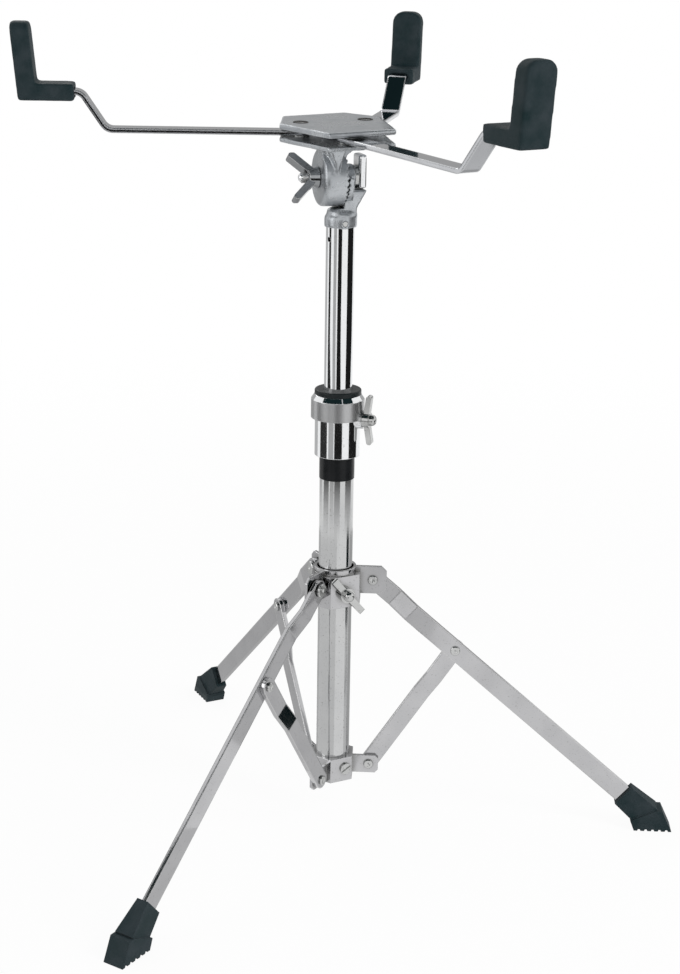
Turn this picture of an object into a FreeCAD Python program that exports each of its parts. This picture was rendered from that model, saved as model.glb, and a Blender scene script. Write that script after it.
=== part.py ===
"""Snare drum stand: a folding tripod, a telescopic mast, a toothed tilter and a three-armed basket.

The frame has its origin on the floor, on the axis of the mast, with +Z up. Lengths are in millimetres.
"""
import FreeCAD, Part
import math
import os
import re

import Sketcher

# Driving sizes. Lengths are in millimetres and angles in degrees.
SIZES = {
    # Fits
    "running_gap": 0.05,
    "strip_gap": 0.2,
    "turning_gap": 0.3,
    "overrun": 1.0,
    # Tubes
    "tube_od": 22.2,
    "tube_wall": 1.2,
    "tube_length": 265.9,
    "upper_tube_wall": 1.2,
    "upper_tube_length": 268.0,
    "mast_extension": 103.3,
    "peep_hole_od": 3.0,
    "peep_hole_drop": 7.0,
    "peep_hole_azimuth": -142.0,
    # Tripod
    "first_leg_azimuth": -3.2,
    "leg_angle": 49.4,
    "leg_reach": 228.0,
    "leg_insert": 15.0,
    "rivet_reach": 73.7,
    "brace_length": 103.7,
    "collar_pivot_step": 13.7,
    "bracket_pivot_step": 13.3,
    "strip_width": 12.8,
    "brace_width": 11.6,
    "strip_thickness": 3.0,
    "leg_joggle_start": 19.5,
    "leg_joggle_length": 15.0,
    "brace_joggle_start": 25.0,
    "brace_joggle_length": 14.8,
    "brace_joggle_step": 3.0,
    # Rivets
    "rivet_od": 4.0,
    "rivet_head_od": 6.4,
    "rivet_wide_head_od": 9.0,
    "rivet_head_height": 1.4,
    "rivet_bevel": 0.5,
    "rivet_hollow_od": 3.0,
    "rivet_hollow_depth": 0.9,
    # Rubber feet
    "foot_mouth_height": 24.0,
    "foot_mouth_width": 16.4,
    "foot_mouth_thickness": 8.0,
    "foot_sleeve_length": 23.0,
    "foot_base_width": 18.0,
    "foot_base_thickness": 13.0,
    "foot_sole_length": 25.4,
    "foot_sole_width": 14.5,
    "foot_heel_setback": 8.1,
    "foot_heel_rise": 7.0,
    "foot_heel_rake": 2.7,
    "foot_toe_rise": 14.8,
    "foot_toe_rake": 6.9,
    "foot_step_length": 4.7,
    "foot_tread_depth": 1.2,
    # Leg collar
    "collar_bore_gap": 1.0,
    "collar_side_gap": 0.85,
    "collar_open_gap": 1.45,
    "collar_wall": 3.9,
    "collar_face_width": 21.0,
    "collar_face_height": 21.5,
    "collar_below_pivot": 15.5,
    "collar_above_pivot": 9.5,
    "collar_sleeve_wall": 1.6,
    "lug_thickness": 2.0,
    "lug_reach": 9.2,
    "lug_rise": 9.5,
    "lug_drop": 9.5,
    "lug_round": 7.0,
    "collar_screw_drop": 6.0,
    "collar_screw_tip_gap": 0.7,
    # Lower bracket
    "bracket_wall": 2.3,
    "bracket_face_width": 16.0,
    "bracket_below_pivot": 7.0,
    "bracket_above_pivot": 10.0,
    "bracket_lug_reach": 6.6,
    "bracket_lug_rise": 6.2,
    "bracket_lug_drop": 6.5,
    "bracket_lug_round": 4.5,
    "bracket_screw_shift": 3.0,
    "bracket_screw_drop": -2.1,
    "bracket_screw_od": 4.0,
    "bracket_screw_head_od": 7.6,
    "bracket_screw_head_height": 1.4,
    # Clamp at the top of the lower tube
    "clamp_lip": 2.0,
    "clamp_bevel_height": 3.0,
    "clamp_bevel_step": 0.5,
    "clamp_band_height": 12.3,
    "clamp_band_step": 2.6,
    "clamp_sleeve_height": 24.9,
    "clamp_wall": 3.5,
    "clamp_boss_od": 12.0,
    "clamp_boss_step": 0.4,
    "clamp_screw_drop": 15.5,
    "clamp_screw_azimuth": -20.0,
    "clamp_screw_tip_gap": 0.15,
    "bush_wall": 0.75,
    "bush_flange_step": 3.9,
    "bush_flange_height": 3.2,
    "bush_flange_round": 1.0,
    "bush_sleeve_length": 26.0,
    "bush_gap": 0.1,
    "band_height": 15.7,
    "band_thickness": 0.3,
    # Wing screws and wing nut
    "screw_od": 6.0,
    "hub_od": 10.0,
    "hub_height": 4.4,
    "knob_od": 7.2,
    "knob_height": 4.2,
    "knob_round_share": 0.4,
    "wing_reach": 16.3,
    "nut_wing_reach": 15.2,
    "wing_thickness": 4.3,
    "nut_wing_thickness": 7.2,
    "wing_foot": 0.6,
    "wing_width": 3.6,
    "wing_flare": 2.0,
    "nut_wing_flare": 13.0,
    "nut_wing_width": 6.2,
    "nut_hub_height": 6.0,
    "nut_hub_od": 13.0,
    "wing_round": 1.6,
    "collar_wing_turn": 40.0,
    "clamp_wing_turn": 4.0,
    "nut_wing_turn": 32.0,
    # Tilter
    "tilter_azimuth": 17.0,
    "basket_tilt": 1.5,
    "pivot_rise": 31.1,
    "socket_wall": 1.2,
    "socket_rim": 6.5,
    "hood_radius": 6.0,
    "socket_height": 12.4,
    "socket_depth": 6.5,
    "socket_pin_od": 3.2,
    "socket_pin_rise": 3.3,
    "head_drum_radius": 17.8,
    "head_drum_length": 15.0,
    "head_drum_round": 2.5,
    "joint_offset": 0.0,
    "joint_gap": 0.15,
    "tooth_depth": 1.4,
    "tooth_width": 2.6,
    "base_disc_radius": 16.0,
    "base_disc_thickness": 4.2,
    "neck_thickness": 15.0,
    "neck_inset": 4.0,
    "neck_back": 8.3,
    "neck_shoulder": 15.0,
    "neck_waist_drop": 19.0,
    "neck_top_drop": 7.4,
    "base_boss_radius": 8.0,
    "base_boss_length": 7.0,
    "head_neck_thickness": 23.0,
    "head_flare": 4.0,
    "head_flare_height": 2.2,
    "head_shoulder": 11.0,
    "head_shoulder_height": 6.5,
    "rib_shift": -7.6,
    "rib_width": 13.6,
    "rib_depth": 17.0,
    "rib_reach": 17.9,
    "bolt_od": 6.4,
    "bolt_head_width": 13.2,
    "bolt_head_height": 5.2,
    "bolt_head_drop": 7.0,
    "bolt_head_rise": 14.0,
    "bolt_end": 6.4,
    "bolt_end_round": 2.2,
    "washer_od": 14.4,
    "washer_thickness": 2.2,
    # Plates
    "plate_rise": 21.5,
    "lower_plate_thickness": 3.1,
    "top_plate_thickness": 3.6,
    "plate_gap": 4.6,
    "plate_round": 0.7,
    "plate_left_back_x": -37.6,
    "plate_left_back_y": 26.3,
    "plate_left_front_x": -38.2,
    "plate_left_front_y": -10.6,
    "plate_front_x": -7.4,
    "plate_front_y": -49.2,
    "plate_right_x": 32.4,
    "plate_right_y": -22.9,
    "plate_right_back_x": 23.5,
    "plate_right_back_y": 35.3,
    "plate_back_x": 1.1,
    "plate_back_y": 51.5,
    "pivot_screw_od": 5.0,
    "pivot_screw_head_od": 8.8,
    "pivot_screw_head_height": 2.2,
    "pivot_washer_od": 11.0,
    "slot_width": 1.2,
    "slot_depth": 1.0,
    # Basket arms
    "arm_width": 12.2,
    "arm_thickness": 3.0,
    "arm_washer_gap": 0.1,
    "arm_shelf": 3.0,
    "arm_core_rise": 36.0,
    "arm_bend_radius": 6.0,
    "left_pivot_x": -25.5,
    "left_pivot_y": -1.8,
    "left_azimuth": 183.5,
    "left_reach": 136.2,
    "left_rise": 22.3,
    "left_run": 15.0,
    "right_pivot_x": 2.6,
    "right_pivot_y": -28.2,
    "right_azimuth": -59.6,
    "right_reach": 154.6,
    "right_rise": 24.1,
    "right_run": 21.5,
    "back_pivot_x": 14.0,
    "back_pivot_y": 18.6,
    "back_azimuth": 77.9,
    "back_reach": 109.0,
    "back_rise": 21.0,
    "back_run": 22.0,
    # Rubber tips
    "tip_length": 33.4,
    "tip_leg_height": 10.2,
    "tip_height": 45.7,
    "tip_width": 19.8,
    "tip_thickness": 11.4,
    "tip_lean": 5.1,
    "tip_core_wall": 3.6,
    "tip_arch": 7.0,
    "tip_round": 1.2,
}

# Places and sizes that follow from the driving ones.
DERIVED = {
    # Everything that grips the lower tube grows with it.
    "upper_tube_od": "tube_od - 2 * (tube_wall + bush_gap + bush_wall + running_gap)",
    "socket_od": "upper_tube_od + 2 * socket_wall",
    "collar_flat_radius": "tube_od / 2 + collar_wall",
    "collar_pivot_radius": "tube_od / 2 + collar_pivot_step",
    "bracket_flat_radius": "tube_od / 2 + bracket_wall",
    "bracket_pivot_radius": "tube_od / 2 + bracket_pivot_step",
    "clamp_sleeve_od": "tube_od + 2 * clamp_wall",
    "clamp_bevel_od": "clamp_sleeve_od + 2 * clamp_bevel_step",
    "clamp_band_od": "clamp_sleeve_od + 2 * clamp_band_step",
    "clamp_boss_radius": "clamp_band_od / 2 + clamp_boss_step",
    "bush_flange_od": "tube_od + 2 * bush_flange_step",
    # The feet stand on the floor, so the height of the tripod comes from the leg.
    "leg_pivot_z": "foot_mouth_height + leg_reach * cos(leg_angle)",
    "mouth_radius": "collar_pivot_radius + leg_reach * sin(leg_angle)",
    "brace_run": "rivet_reach * sin(leg_angle) + collar_pivot_radius - bracket_pivot_radius",
    "brace_angle": "asin(brace_run / brace_length)",
    "rivet_radius": "collar_pivot_radius + rivet_reach * sin(leg_angle)",
    "rivet_z": "leg_pivot_z - rivet_reach * cos(leg_angle)",
    "brace_pivot_z": "rivet_z - brace_length * cos(brace_angle)",
    # Layers across a leg: the leg lies in the radial plane, and the rest beside it.
    "layer_step": "strip_thickness + strip_gap",
    "brace_layer": "layer_step + brace_joggle_step",
    "lug_layer": "layer_step - strip_thickness / 2 - collar_side_gap - lug_thickness / 2",
    "bracket_lug_layer": "brace_layer - strip_thickness / 2 - strip_gap - lug_thickness / 2",
    # Mast
    "tube_bottom_z": "brace_pivot_z - bracket_below_pivot",
    "tube_top_z": "tube_bottom_z + tube_length",
    "clamp_top_z": "tube_top_z + clamp_lip",
    "clamp_band_z": "clamp_top_z - clamp_bevel_height - clamp_band_height",
    "clamp_bottom_z": "clamp_band_z - clamp_sleeve_height",
    "clamp_screw_z": "clamp_top_z - clamp_screw_drop",
    "bush_top_z": "clamp_top_z + bush_flange_height",
    "tube_bore_radius": "tube_od / 2 - tube_wall",
    "bush_sleeve_radius": "tube_bore_radius - bush_gap",
    "bush_bore_radius": "upper_tube_od / 2 + running_gap",
    "base_bottom_z": "bush_top_z + mast_extension",
    "upper_tube_top_z": "base_bottom_z + socket_depth",
    "pivot_z": "base_bottom_z + pivot_rise",
    # Collar
    "collar_bore_radius": "tube_od / 2 + collar_bore_gap",
    "collar_bottom_z": "leg_pivot_z - collar_below_pivot",
    "collar_screw_z": "leg_pivot_z - collar_screw_drop",
    "face_azimuth": "first_leg_azimuth - 60",
    # Tilter, measured from the pivot along the tilter's axis
    "base_face": "joint_offset + joint_gap",
    "base_back": "base_face + base_boss_length",
    "head_front": "joint_offset - head_drum_length",
    "bolt_hole_radius": "bolt_od / 2 + running_gap",
    # Plates and basket, measured up from the pivot
    "lower_plate_top": "plate_rise + lower_plate_thickness",
    "top_plate_bottom": "lower_plate_top + plate_gap",
    "top_plate_top": "top_plate_bottom + top_plate_thickness",
    "pivot_washer_thickness": "(plate_gap - arm_thickness) / 2 - arm_washer_gap",
    "arm_bottom": "lower_plate_top + (plate_gap - arm_thickness) / 2",
}

LEGS = {"right": "0", "back": "120", "front": "240"}
ARMS = ("left", "right", "back")
PLATE_CORNERS = ("left_back", "left_front", "front", "right", "right_back", "back")
TOOTH_COUNT = 30
TREAD_COUNT = 5
# One groove of the tread, as shares of a step along the sole and of the depth.
TREAD_SHARES = ((1, 0), (1.25, 1), (1.75, 1), (2, 0))

doc = FreeCAD.newDocument("snare_stand")
sheet = doc.addObject("Spreadsheet::Sheet", "Sizes")
for row, (alias, value) in enumerate(SIZES.items(), start=1):
    sheet.set(f"A{row}", alias)
    sheet.set(f"B{row}", str(value))
    sheet.setAlias(f"B{row}", alias)
doc.recompute()

nodes = {}


# Reading the sheet

def cells(text):
    """Turn the names in an expression into references to the sheet's cells."""
    def named(match):
        word = match.group()
        if word in SIZES:
            return "Sizes." + word
        if word in DERIVED:
            return "(" + cells(DERIVED[word]) + ")"
        return word
    return re.sub(r"[a-z_]+", named, text)


def shift(x, y, z):
    return f"placement(vector({x}; {y}; {z}); rotation(vector(0; 0; 1); 0))"


def turn(axis, angle):
    return f"placement(vector(0; 0; 0); rotation(vector({axis}); {angle}))"


X_AXIS, Y_AXIS, Z_AXIS = "1; 0; 0", "0; 1; 0", "0; 0; 1"


def place(piece, *steps):
    """Place a piece by a chain of shifts and turns, the outermost first."""
    piece.setExpression("Placement", cells(" * ".join(steps)))


# Sketches and features

def new_body(name):
    return doc.addObject("PartDesign::Body", name)


def sketch_on(body, role, offset="0"):
    """An empty sketch on one of the body's own origin planes, moved along the plane's normal."""
    plane = [item for item in body.Origin.OriginFeatures if item.Role == role][0]
    sketch = body.newObject("Sketcher::SketchObject", body.Name + "_sketch")
    sketch.AttachmentSupport = (plane, [""])
    sketch.MapMode = "FlatFace"
    sketch.setExpression("AttachmentOffset.Base.z", cells(offset))
    return sketch


def bind(sketch, constraint, expression):
    index = sketch.addConstraint(constraint)
    sketch.setExpression(f"Constraints[{index}]", cells(expression))


def pin(sketch, item, vertex, point, start):
    """Fix one point of a sketch at two distances from the sketch's origin."""
    bind(sketch, Sketcher.Constraint("DistanceX", -1, 1, item, vertex, start.x), point[0])
    bind(sketch, Sketcher.Constraint("DistanceY", -1, 1, item, vertex, start.y), point[1])


def outline(sketch, corners):
    """A closed outline of straight lines through corners that are given as expressions."""
    count = len(corners)
    turns = [2 * math.pi * index / count for index in range(count)]
    starts = [FreeCAD.Vector(math.cos(angle), math.sin(angle), 0) for angle in turns]
    first = sketch.GeometryCount
    for index in range(count):
        sketch.addGeometry(Part.LineSegment(starts[index], starts[(index + 1) % count]), False)
    for index in range(count):
        following = first + (index + 1) % count
        sketch.addConstraint(Sketcher.Constraint("Coincident", first + index, 2, following, 1))
    for index, corner in enumerate(corners):
        pin(sketch, first + index, 1, corner, starts[index])
    return sketch


def rectangle(sketch, width, height):
    """A rectangle about the sketch's origin."""
    x, y = f"{width} / 2", f"{height} / 2"
    return outline(sketch, [(f"-{x}", f"-{y}"), (x, f"-{y}"), (x, y), (f"-{x}", y)])


def circle(sketch, x, y, radius):
    start = FreeCAD.Vector(0, 0, 0)
    item = sketch.addGeometry(Part.Circle(start, FreeCAD.Vector(0, 0, 1), 1), False)
    pin(sketch, item, 3, (x, y), start)
    bind(sketch, Sketcher.Constraint("Radius", item, 1), radius)
    return sketch


def pad(body, sketch, length, side="Symmetric", back=False):
    feature = body.newObject("PartDesign::Pad", body.Name + "_pad")
    feature.Profile = sketch
    feature.SideType = side
    feature.Reversed = back
    feature.setExpression("Length", cells(length))
    sketch.Visibility = False
    doc.recompute()
    return feature


def pocket(body, sketch, length, side="Symmetric", back=False):
    feature = body.newObject("PartDesign::Pocket", body.Name + "_pocket")
    feature.Profile = sketch
    feature.SideType = side
    feature.Reversed = back
    feature.setExpression("Length", cells(length))
    sketch.Visibility = False
    doc.recompute()
    return feature


def revolve(body, profile):
    """Turn a profile of radius and height about the body's Z axis."""
    sketch = outline(sketch_on(body, "XZ_Plane"), profile)
    feature = body.newObject("PartDesign::Revolution", body.Name + "_turned")
    feature.Profile = sketch
    feature.ReferenceAxis = (sketch, ["V_Axis"])
    feature.Angle = 360
    sketch.Visibility = False
    doc.recompute()
    return feature


def axis_of(body, role):
    return [item for item in body.Origin.OriginFeatures if item.Role == role][0]


def repeat_round(body, feature, role, count):
    """Repeat a feature evenly about one of the body's axes."""
    pattern = body.newObject("PartDesign::PolarPattern", body.Name + "_pattern")
    pattern.Originals = [feature]
    pattern.Axis = (axis_of(body, role), [""])
    pattern.Angle = 360
    pattern.Occurrences = count
    body.Tip = pattern
    doc.recompute()
    return pattern


def round_edges(body, radius, chosen):
    """Round those edges of the body's last feature that a test picks."""
    base = body.Tip
    numbered = enumerate(base.Shape.Edges, start=1)
    names = [f"Edge{index}" for index, edge in numbered if chosen(edge, base.Shape)]
    feature = body.newObject("PartDesign::Fillet", body.Name + "_round")
    feature.Base = (base, names)
    feature.setExpression("Radius", cells(radius))
    doc.recompute()
    return feature


def at_an_end(edge, shape):
    """True for an edge that lies in the lowest or the highest plane of a shape."""
    low, high = shape.BoundBox.ZMin, shape.BoundBox.ZMax
    box = edge.BoundBox
    flat = box.ZLength < box.DiagonalLength / 1000
    near = shape.BoundBox.ZLength / 1000
    return flat and (abs(box.ZMin - low) < near or abs(box.ZMax - high) < near)


def along(role):
    """A test for straight edges that run along one of the axes."""
    def chosen(edge, shape):
        if edge.Curve.TypeId != "Part::GeomLine":
            return False
        direction = edge.Curve.Direction
        return abs(abs({"X": direction.x, "Y": direction.y, "Z": direction.z}[role]) - 1) < 1e-6
    return chosen


def slot(sketch, length, width):
    """A long outline with round ends, from one pivot to another."""
    reach = 50
    half = 5
    near, far, normal = FreeCAD.Vector(0, 0, 0), FreeCAD.Vector(reach, 0, 0), FreeCAD.Vector(0, 0, 1)
    side = FreeCAD.Vector(0, half, 0)
    quarter = math.pi / 2
    right = sketch.addGeometry(Part.ArcOfCircle(Part.Circle(far, normal, half), -quarter, quarter), False)
    left = sketch.addGeometry(Part.ArcOfCircle(Part.Circle(near, normal, half), quarter, 3 * quarter), False)
    top = sketch.addGeometry(Part.LineSegment(far + side, near + side), False)
    low = sketch.addGeometry(Part.LineSegment(near - side, far - side), False)
    sketch.addConstraint(Sketcher.Constraint("Tangent", right, 2, top, 1))
    sketch.addConstraint(Sketcher.Constraint("Tangent", top, 2, left, 1))
    sketch.addConstraint(Sketcher.Constraint("Tangent", left, 2, low, 1))
    sketch.addConstraint(Sketcher.Constraint("Tangent", low, 2, right, 1))
    pin(sketch, left, 3, ("0", "0"), near)
    pin(sketch, right, 3, (length, "0"), far)
    for end in (left, right):
        bind(sketch, Sketcher.Constraint("Radius", end, half), f"({width}) / 2")
    return sketch


# Finished pieces

def keep(name, piece):
    piece.Label = name
    nodes[name] = piece
    return piece


def boolean(kind, name, base, tool):
    feature = doc.addObject("Part::" + kind, name)
    feature.Base = base
    feature.Tool = tool
    doc.recompute()
    return feature


def cut(name, base, *tools):
    """The base with every tool taken out of it."""
    for tool in tools:
        base = boolean("Cut", name, base, tool)
    return base


def group(name, pieces):
    feature = doc.addObject("Part::Compound", name)
    feature.Links = pieces
    doc.recompute()
    return feature


def rod(name, radius, length, *steps):
    """A plain cylinder along its own Z axis, used to drill a hole."""
    piece = doc.addObject("Part::Cylinder", name)
    piece.setExpression("Radius", cells(radius))
    piece.setExpression("Height", cells(length))
    place(piece, *steps)
    return piece


def rivet(name, grip, far_head="rivet_head_od"):
    """A hollow-ended rivet with two heads, its grip running up from zero along its own Z axis."""
    body = new_body(name)
    shank, hollow = "rivet_od / 2", "rivet_hollow_od / 2"
    near, far = "rivet_head_od / 2", f"{far_head} / 2"
    low, high = "-rivet_head_height", f"{grip} + rivet_head_height"
    revolve(body, [
        ("0", f"{low} + rivet_hollow_depth"), (hollow, low), (f"{near} - rivet_bevel", low),
        (near, f"{low} + rivet_bevel"), (near, "0"), (shank, "0"), (shank, grip), (far, grip),
        (far, f"{high} - rivet_bevel"), (f"{far} - rivet_bevel", high), (hollow, high),
        ("0", f"{high} - rivet_hollow_depth"),
    ])
    return body


def slotted_screw(name, head_od, head_height, shank_od, length, tapered):
    """A slotted screw whose head ends at zero and whose shank runs down its own Z axis."""
    body = new_body(name)
    head, shank = f"{head_od} / 2", f"{shank_od} / 2"
    under, end = f"-({head_height})", f"-({length})"
    seat = [] if tapered else [(head, under)]
    revolve(body, [("0", "0"), (head, "0"), *seat, (shank, under), (shank, end), ("0", end)])
    half = "slot_width / 2"
    notch = outline(sketch_on(body, "XZ_Plane"), [
        (f"-{half}", "-slot_depth"), (half, "-slot_depth"), (half, "overrun"), (f"-{half}", "overrun"),
    ])
    pocket(body, notch, f"{head_od} + overrun")
    return body


def wings(body, reach, flare, width, thickness):
    """Two wings that spread from a hub and lean away from the seat."""
    root, foot = "hub_od / 4", "wing_foot"
    inner_top = f"wing_foot + {width}"
    tip_low, tip_high = f"wing_foot + {flare}", f"wing_foot + {flare} + {width}"
    sketch = outline(sketch_on(body, "XZ_Plane"), [
        (f"-{root}", foot), (root, foot), (reach, tip_low), (reach, tip_high),
        (root, inner_top), (f"-{root}", inner_top), (f"-{reach}", tip_high), (f"-{reach}", tip_low),
    ])
    feature = pad(body, sketch, thickness)
    limit = feature.Shape.BoundBox.XMax

    def tip_corner(edge, shape):
        return along("Y")(edge, shape) and abs(abs(edge.CenterOfMass.x) - limit) < limit / 1000
    return round_edges(body, "wing_round", tip_corner)


def wing_screw(name, length):
    """A wing screw: its seat is at zero, its hub and knob above and its shank below."""
    body = new_body(name)
    hub, knob, shank = "hub_od / 2", "knob_od / 2", "screw_od / 2"
    top = "hub_height + knob_height"
    revolve(body, [
        ("0", f"-({length})"), (shank, f"-({length})"), (shank, "0"), (hub, "0"), (hub, "hub_height"),
        (knob, "hub_height"), (knob, top), ("0", top),
    ])

    def knob_rim(edge, shape):
        return at_an_end(edge, shape) and edge.CenterOfMass.z > 0
    round_edges(body, "knob_od * knob_round_share", knob_rim)
    wings(body, "wing_reach", "wing_flare", "wing_width", "wing_thickness")
    return body


# Mast

def mast():
    radius, bore = "tube_od / 2", "tube_bore_radius"
    tube = new_body("lower_tube_blank")
    revolve(tube, [
        (bore, "tube_bottom_z"), (radius, "tube_bottom_z"), (radius, "tube_top_z"), (bore, "tube_top_z"),
    ])
    clamp_hole = rod(
        "clamp_hole", "screw_od / 2 + running_gap", "clamp_boss_radius + overrun",
        turn(Z_AXIS, "clamp_screw_azimuth"), shift("0", "0", "clamp_screw_z"), turn(Y_AXIS, "90"))
    screw_hole = rod(
        "bracket_hole", "bracket_screw_od / 2", "bracket_flat_radius + overrun",
        turn(Z_AXIS, "face_azimuth"), shift("0", "bracket_screw_shift", "brace_pivot_z - bracket_screw_drop"),
        turn(Y_AXIS, "90"))
    keep("lower_tube", cut("lower_tube", tube, clamp_hole, screw_hole))

    band = new_body("mast_band")
    edge = "tube_od / 2 + band_thickness"
    revolve(band, [
        (radius, "clamp_bottom_z - band_height"), (edge, "clamp_bottom_z - band_height"),
        (edge, "clamp_bottom_z"), (radius, "clamp_bottom_z"),
    ])
    keep("mast_band", band)

    collar = new_body("clamp_collar_blank")
    sleeve, ring, bevel = "clamp_sleeve_od / 2", "clamp_band_od / 2", "clamp_bevel_od / 2"
    revolve(collar, [
        (radius, "clamp_bottom_z"), (sleeve, "clamp_bottom_z"), (sleeve, "clamp_band_z"),
        (ring, "clamp_band_z"), (ring, "clamp_top_z - clamp_bevel_height"), (bevel, "clamp_top_z"),
        (bore, "clamp_top_z"), (bore, "tube_top_z"), (radius, "tube_top_z"),
    ])
    boss = rod(
        "clamp_boss_bar", "clamp_boss_od / 2", "clamp_boss_radius - tube_od / 2",
        turn(Z_AXIS, "clamp_screw_azimuth"), shift("tube_od / 2", "0", "clamp_screw_z"), turn(Y_AXIS, "90"))
    core = rod("clamp_core", radius, "clamp_top_z", shift("0", "0", "0"))
    boss = cut("clamp_boss", boss, core)
    joined = boolean("Fuse", "clamp_collar_solid", collar, boss)
    keep("clamp_collar", cut("clamp_collar", joined, clamp_hole))

    bush = new_body("clamp_bush")
    inner, outer, flange = "bush_bore_radius", "bush_sleeve_radius", "bush_flange_od / 2"
    low = "clamp_top_z - bush_sleeve_length"
    revolve(bush, [
        (inner, low), (outer, low), (outer, "clamp_top_z"), (flange, "clamp_top_z"),
        (flange, "bush_top_z"), (inner, "bush_top_z"),
    ])

    def flange_rim(edge, shape):
        top = abs(edge.BoundBox.ZMin - shape.BoundBox.ZMax) < shape.BoundBox.ZLength / 1000
        return top and edge.BoundBox.XLength > 0.9 * shape.BoundBox.XLength
    round_edges(bush, "bush_flange_round", flange_rim)
    keep("clamp_bush", bush)

    length = "clamp_boss_radius - tube_bore_radius - clamp_screw_tip_gap + bush_gap"
    screw = wing_screw("clamp_wing_screw", length)
    place(screw, turn(Z_AXIS, "clamp_screw_azimuth"), shift("clamp_boss_radius", "0", "clamp_screw_z"),
          turn(Y_AXIS, "90"), turn(Z_AXIS, "clamp_wing_turn"))
    keep("clamp_wing_screw", screw)


# Brackets round the tube

def ring_outline(sketch, flat_radius, face_width):
    """Six corners: three wide faces between the legs and three narrow ones at them."""
    corners = []
    for face in range(3):
        for side in ("-", "+"):
            angle = f"(60 + {face} * 120)"
            across = f"({side}{face_width} / 2)"
            corners.append((
                f"{flat_radius} * cos{angle} - {across} * sin{angle}",
                f"{flat_radius} * sin{angle} + {across} * cos{angle}",
            ))
    return outline(sketch, corners)


def lug(body, layer, inner, pivot_radius, pivot_z, reach, rise, drop, corner):
    """Three upright lugs, one at each leg, with a rivet hole."""
    outer = f"{pivot_radius} + {reach}"
    low, high = f"{pivot_z} - {drop}", f"{pivot_z} + {rise}"
    sketch = outline(sketch_on(body, "XZ_Plane", f"-({layer})"), [
        (inner, low), (f"{outer} - {corner}", low), (outer, f"{low} + {corner}"),
        (outer, f"{high} - {corner}"), (f"{outer} - {corner}", high), (inner, high),
    ])
    circle(sketch, pivot_radius, pivot_z, "rivet_od / 2")
    feature = pad(body, sketch, "lug_thickness")
    return repeat_round(body, feature, "Z_Axis", 3)


def leg_collar():
    body = new_body("leg_collar_blank")
    block = sketch_on(body, "XY_Plane", "collar_bottom_z")
    ring_outline(block, "collar_flat_radius", "collar_face_width")
    circle(block, "0", "0", "collar_bore_radius")
    pad(body, block, "collar_face_height", "One side")
    sleeve = circle(sketch_on(body, "XY_Plane", "collar_bottom_z"), "0", "0", "collar_bore_radius")
    circle(sleeve, "0", "0", "collar_bore_radius + collar_sleeve_wall")
    pad(body, sleeve, "collar_below_pivot + collar_above_pivot", "One side")
    inner = "collar_bore_radius + collar_sleeve_wall / 2"
    lug(body, "lug_layer", inner, "collar_pivot_radius", "leg_pivot_z",
        "lug_reach", "lug_rise", "lug_drop", "lug_round / 2")
    place(body, turn(Z_AXIS, "first_leg_azimuth"))
    hole = rod(
        "collar_hole", "screw_od / 2 + running_gap", "collar_flat_radius",
        turn(Z_AXIS, "face_azimuth"), shift("collar_bore_radius / 2", "0", "collar_screw_z"),
        turn(Y_AXIS, "90"))
    keep("leg_collar", cut("leg_collar", body, hole))

    screw = wing_screw("collar_wing_screw", "collar_flat_radius - tube_od / 2 - collar_screw_tip_gap")
    place(screw, turn(Z_AXIS, "face_azimuth"), shift("collar_flat_radius", "0", "collar_screw_z"),
          turn(Y_AXIS, "90"), turn(Z_AXIS, "collar_wing_turn"))
    keep("collar_wing_screw", screw)


def foot_bracket():
    body = new_body("foot_bracket_blank")
    block = sketch_on(body, "XY_Plane", "tube_bottom_z")
    ring_outline(block, "bracket_flat_radius", "bracket_face_width")
    circle(block, "0", "0", "tube_od / 2")
    pad(body, block, "bracket_below_pivot + bracket_above_pivot", "One side")
    lug(body, "bracket_lug_layer", "tube_od / 2 + lug_thickness / 2", "bracket_pivot_radius", "brace_pivot_z",
        "bracket_lug_reach", "bracket_lug_rise", "bracket_lug_drop", "bracket_lug_round / 2")
    place(body, turn(Z_AXIS, "first_leg_azimuth"))

    length = "bracket_flat_radius - tube_bore_radius + bracket_screw_head_height"
    screw = slotted_screw("bracket_screw", "bracket_screw_head_od", "bracket_screw_head_height",
                          "bracket_screw_od", length, tapered=False)
    place(screw, turn(Z_AXIS, "face_azimuth"),
          shift("bracket_flat_radius + bracket_screw_head_height", "bracket_screw_shift",
                "brace_pivot_z - bracket_screw_drop"),
          turn(Y_AXIS, "90"), turn(Z_AXIS, "30"))
    keep("bracket_screw", screw)
    keep("foot_bracket", cut("foot_bracket", body, screw))


# Legs

def strip(name, width, length, joggle_start, joggle_length, low_layer, high_layer, holes):
    """A flat strip on edge with round ends, stepped sideways once, along its own X axis."""
    half = "strip_thickness / 2"
    end = width
    bent = new_body(name + "_bent")
    knee = f"{joggle_start} + {joggle_length}"
    profile = outline(sketch_on(bent, "XZ_Plane"), [
        (f"-{end}", f"{low_layer} - {half}"), (joggle_start, f"{low_layer} - {half}"),
        (knee, f"{high_layer} - {half}"), (f"{length} + {end}", f"{high_layer} - {half}"),
        (f"{length} + {end}", f"{high_layer} + {half}"), (knee, f"{high_layer} + {half}"),
        (joggle_start, f"{low_layer} + {half}"), (f"-{end}", f"{low_layer} + {half}"),
    ])
    pad(bent, profile, f"{width} + overrun")
    face = new_body(name + "_face")
    sketch = slot(sketch_on(face, "XY_Plane"), length, width)
    for place_along, radius in holes:
        circle(sketch, place_along, "0", radius)
    pad(face, sketch, "4 * (strip_thickness + layer_step + brace_layer)")
    return boolean("Common", name, bent, face)


def stand_strip(piece, azimuth, radius, height, *lean):
    place(piece, turn(Z_AXIS, f"first_leg_azimuth + {azimuth}"), shift(radius, "0", height),
          *lean, turn(X_AXIS, "-90"))


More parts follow.
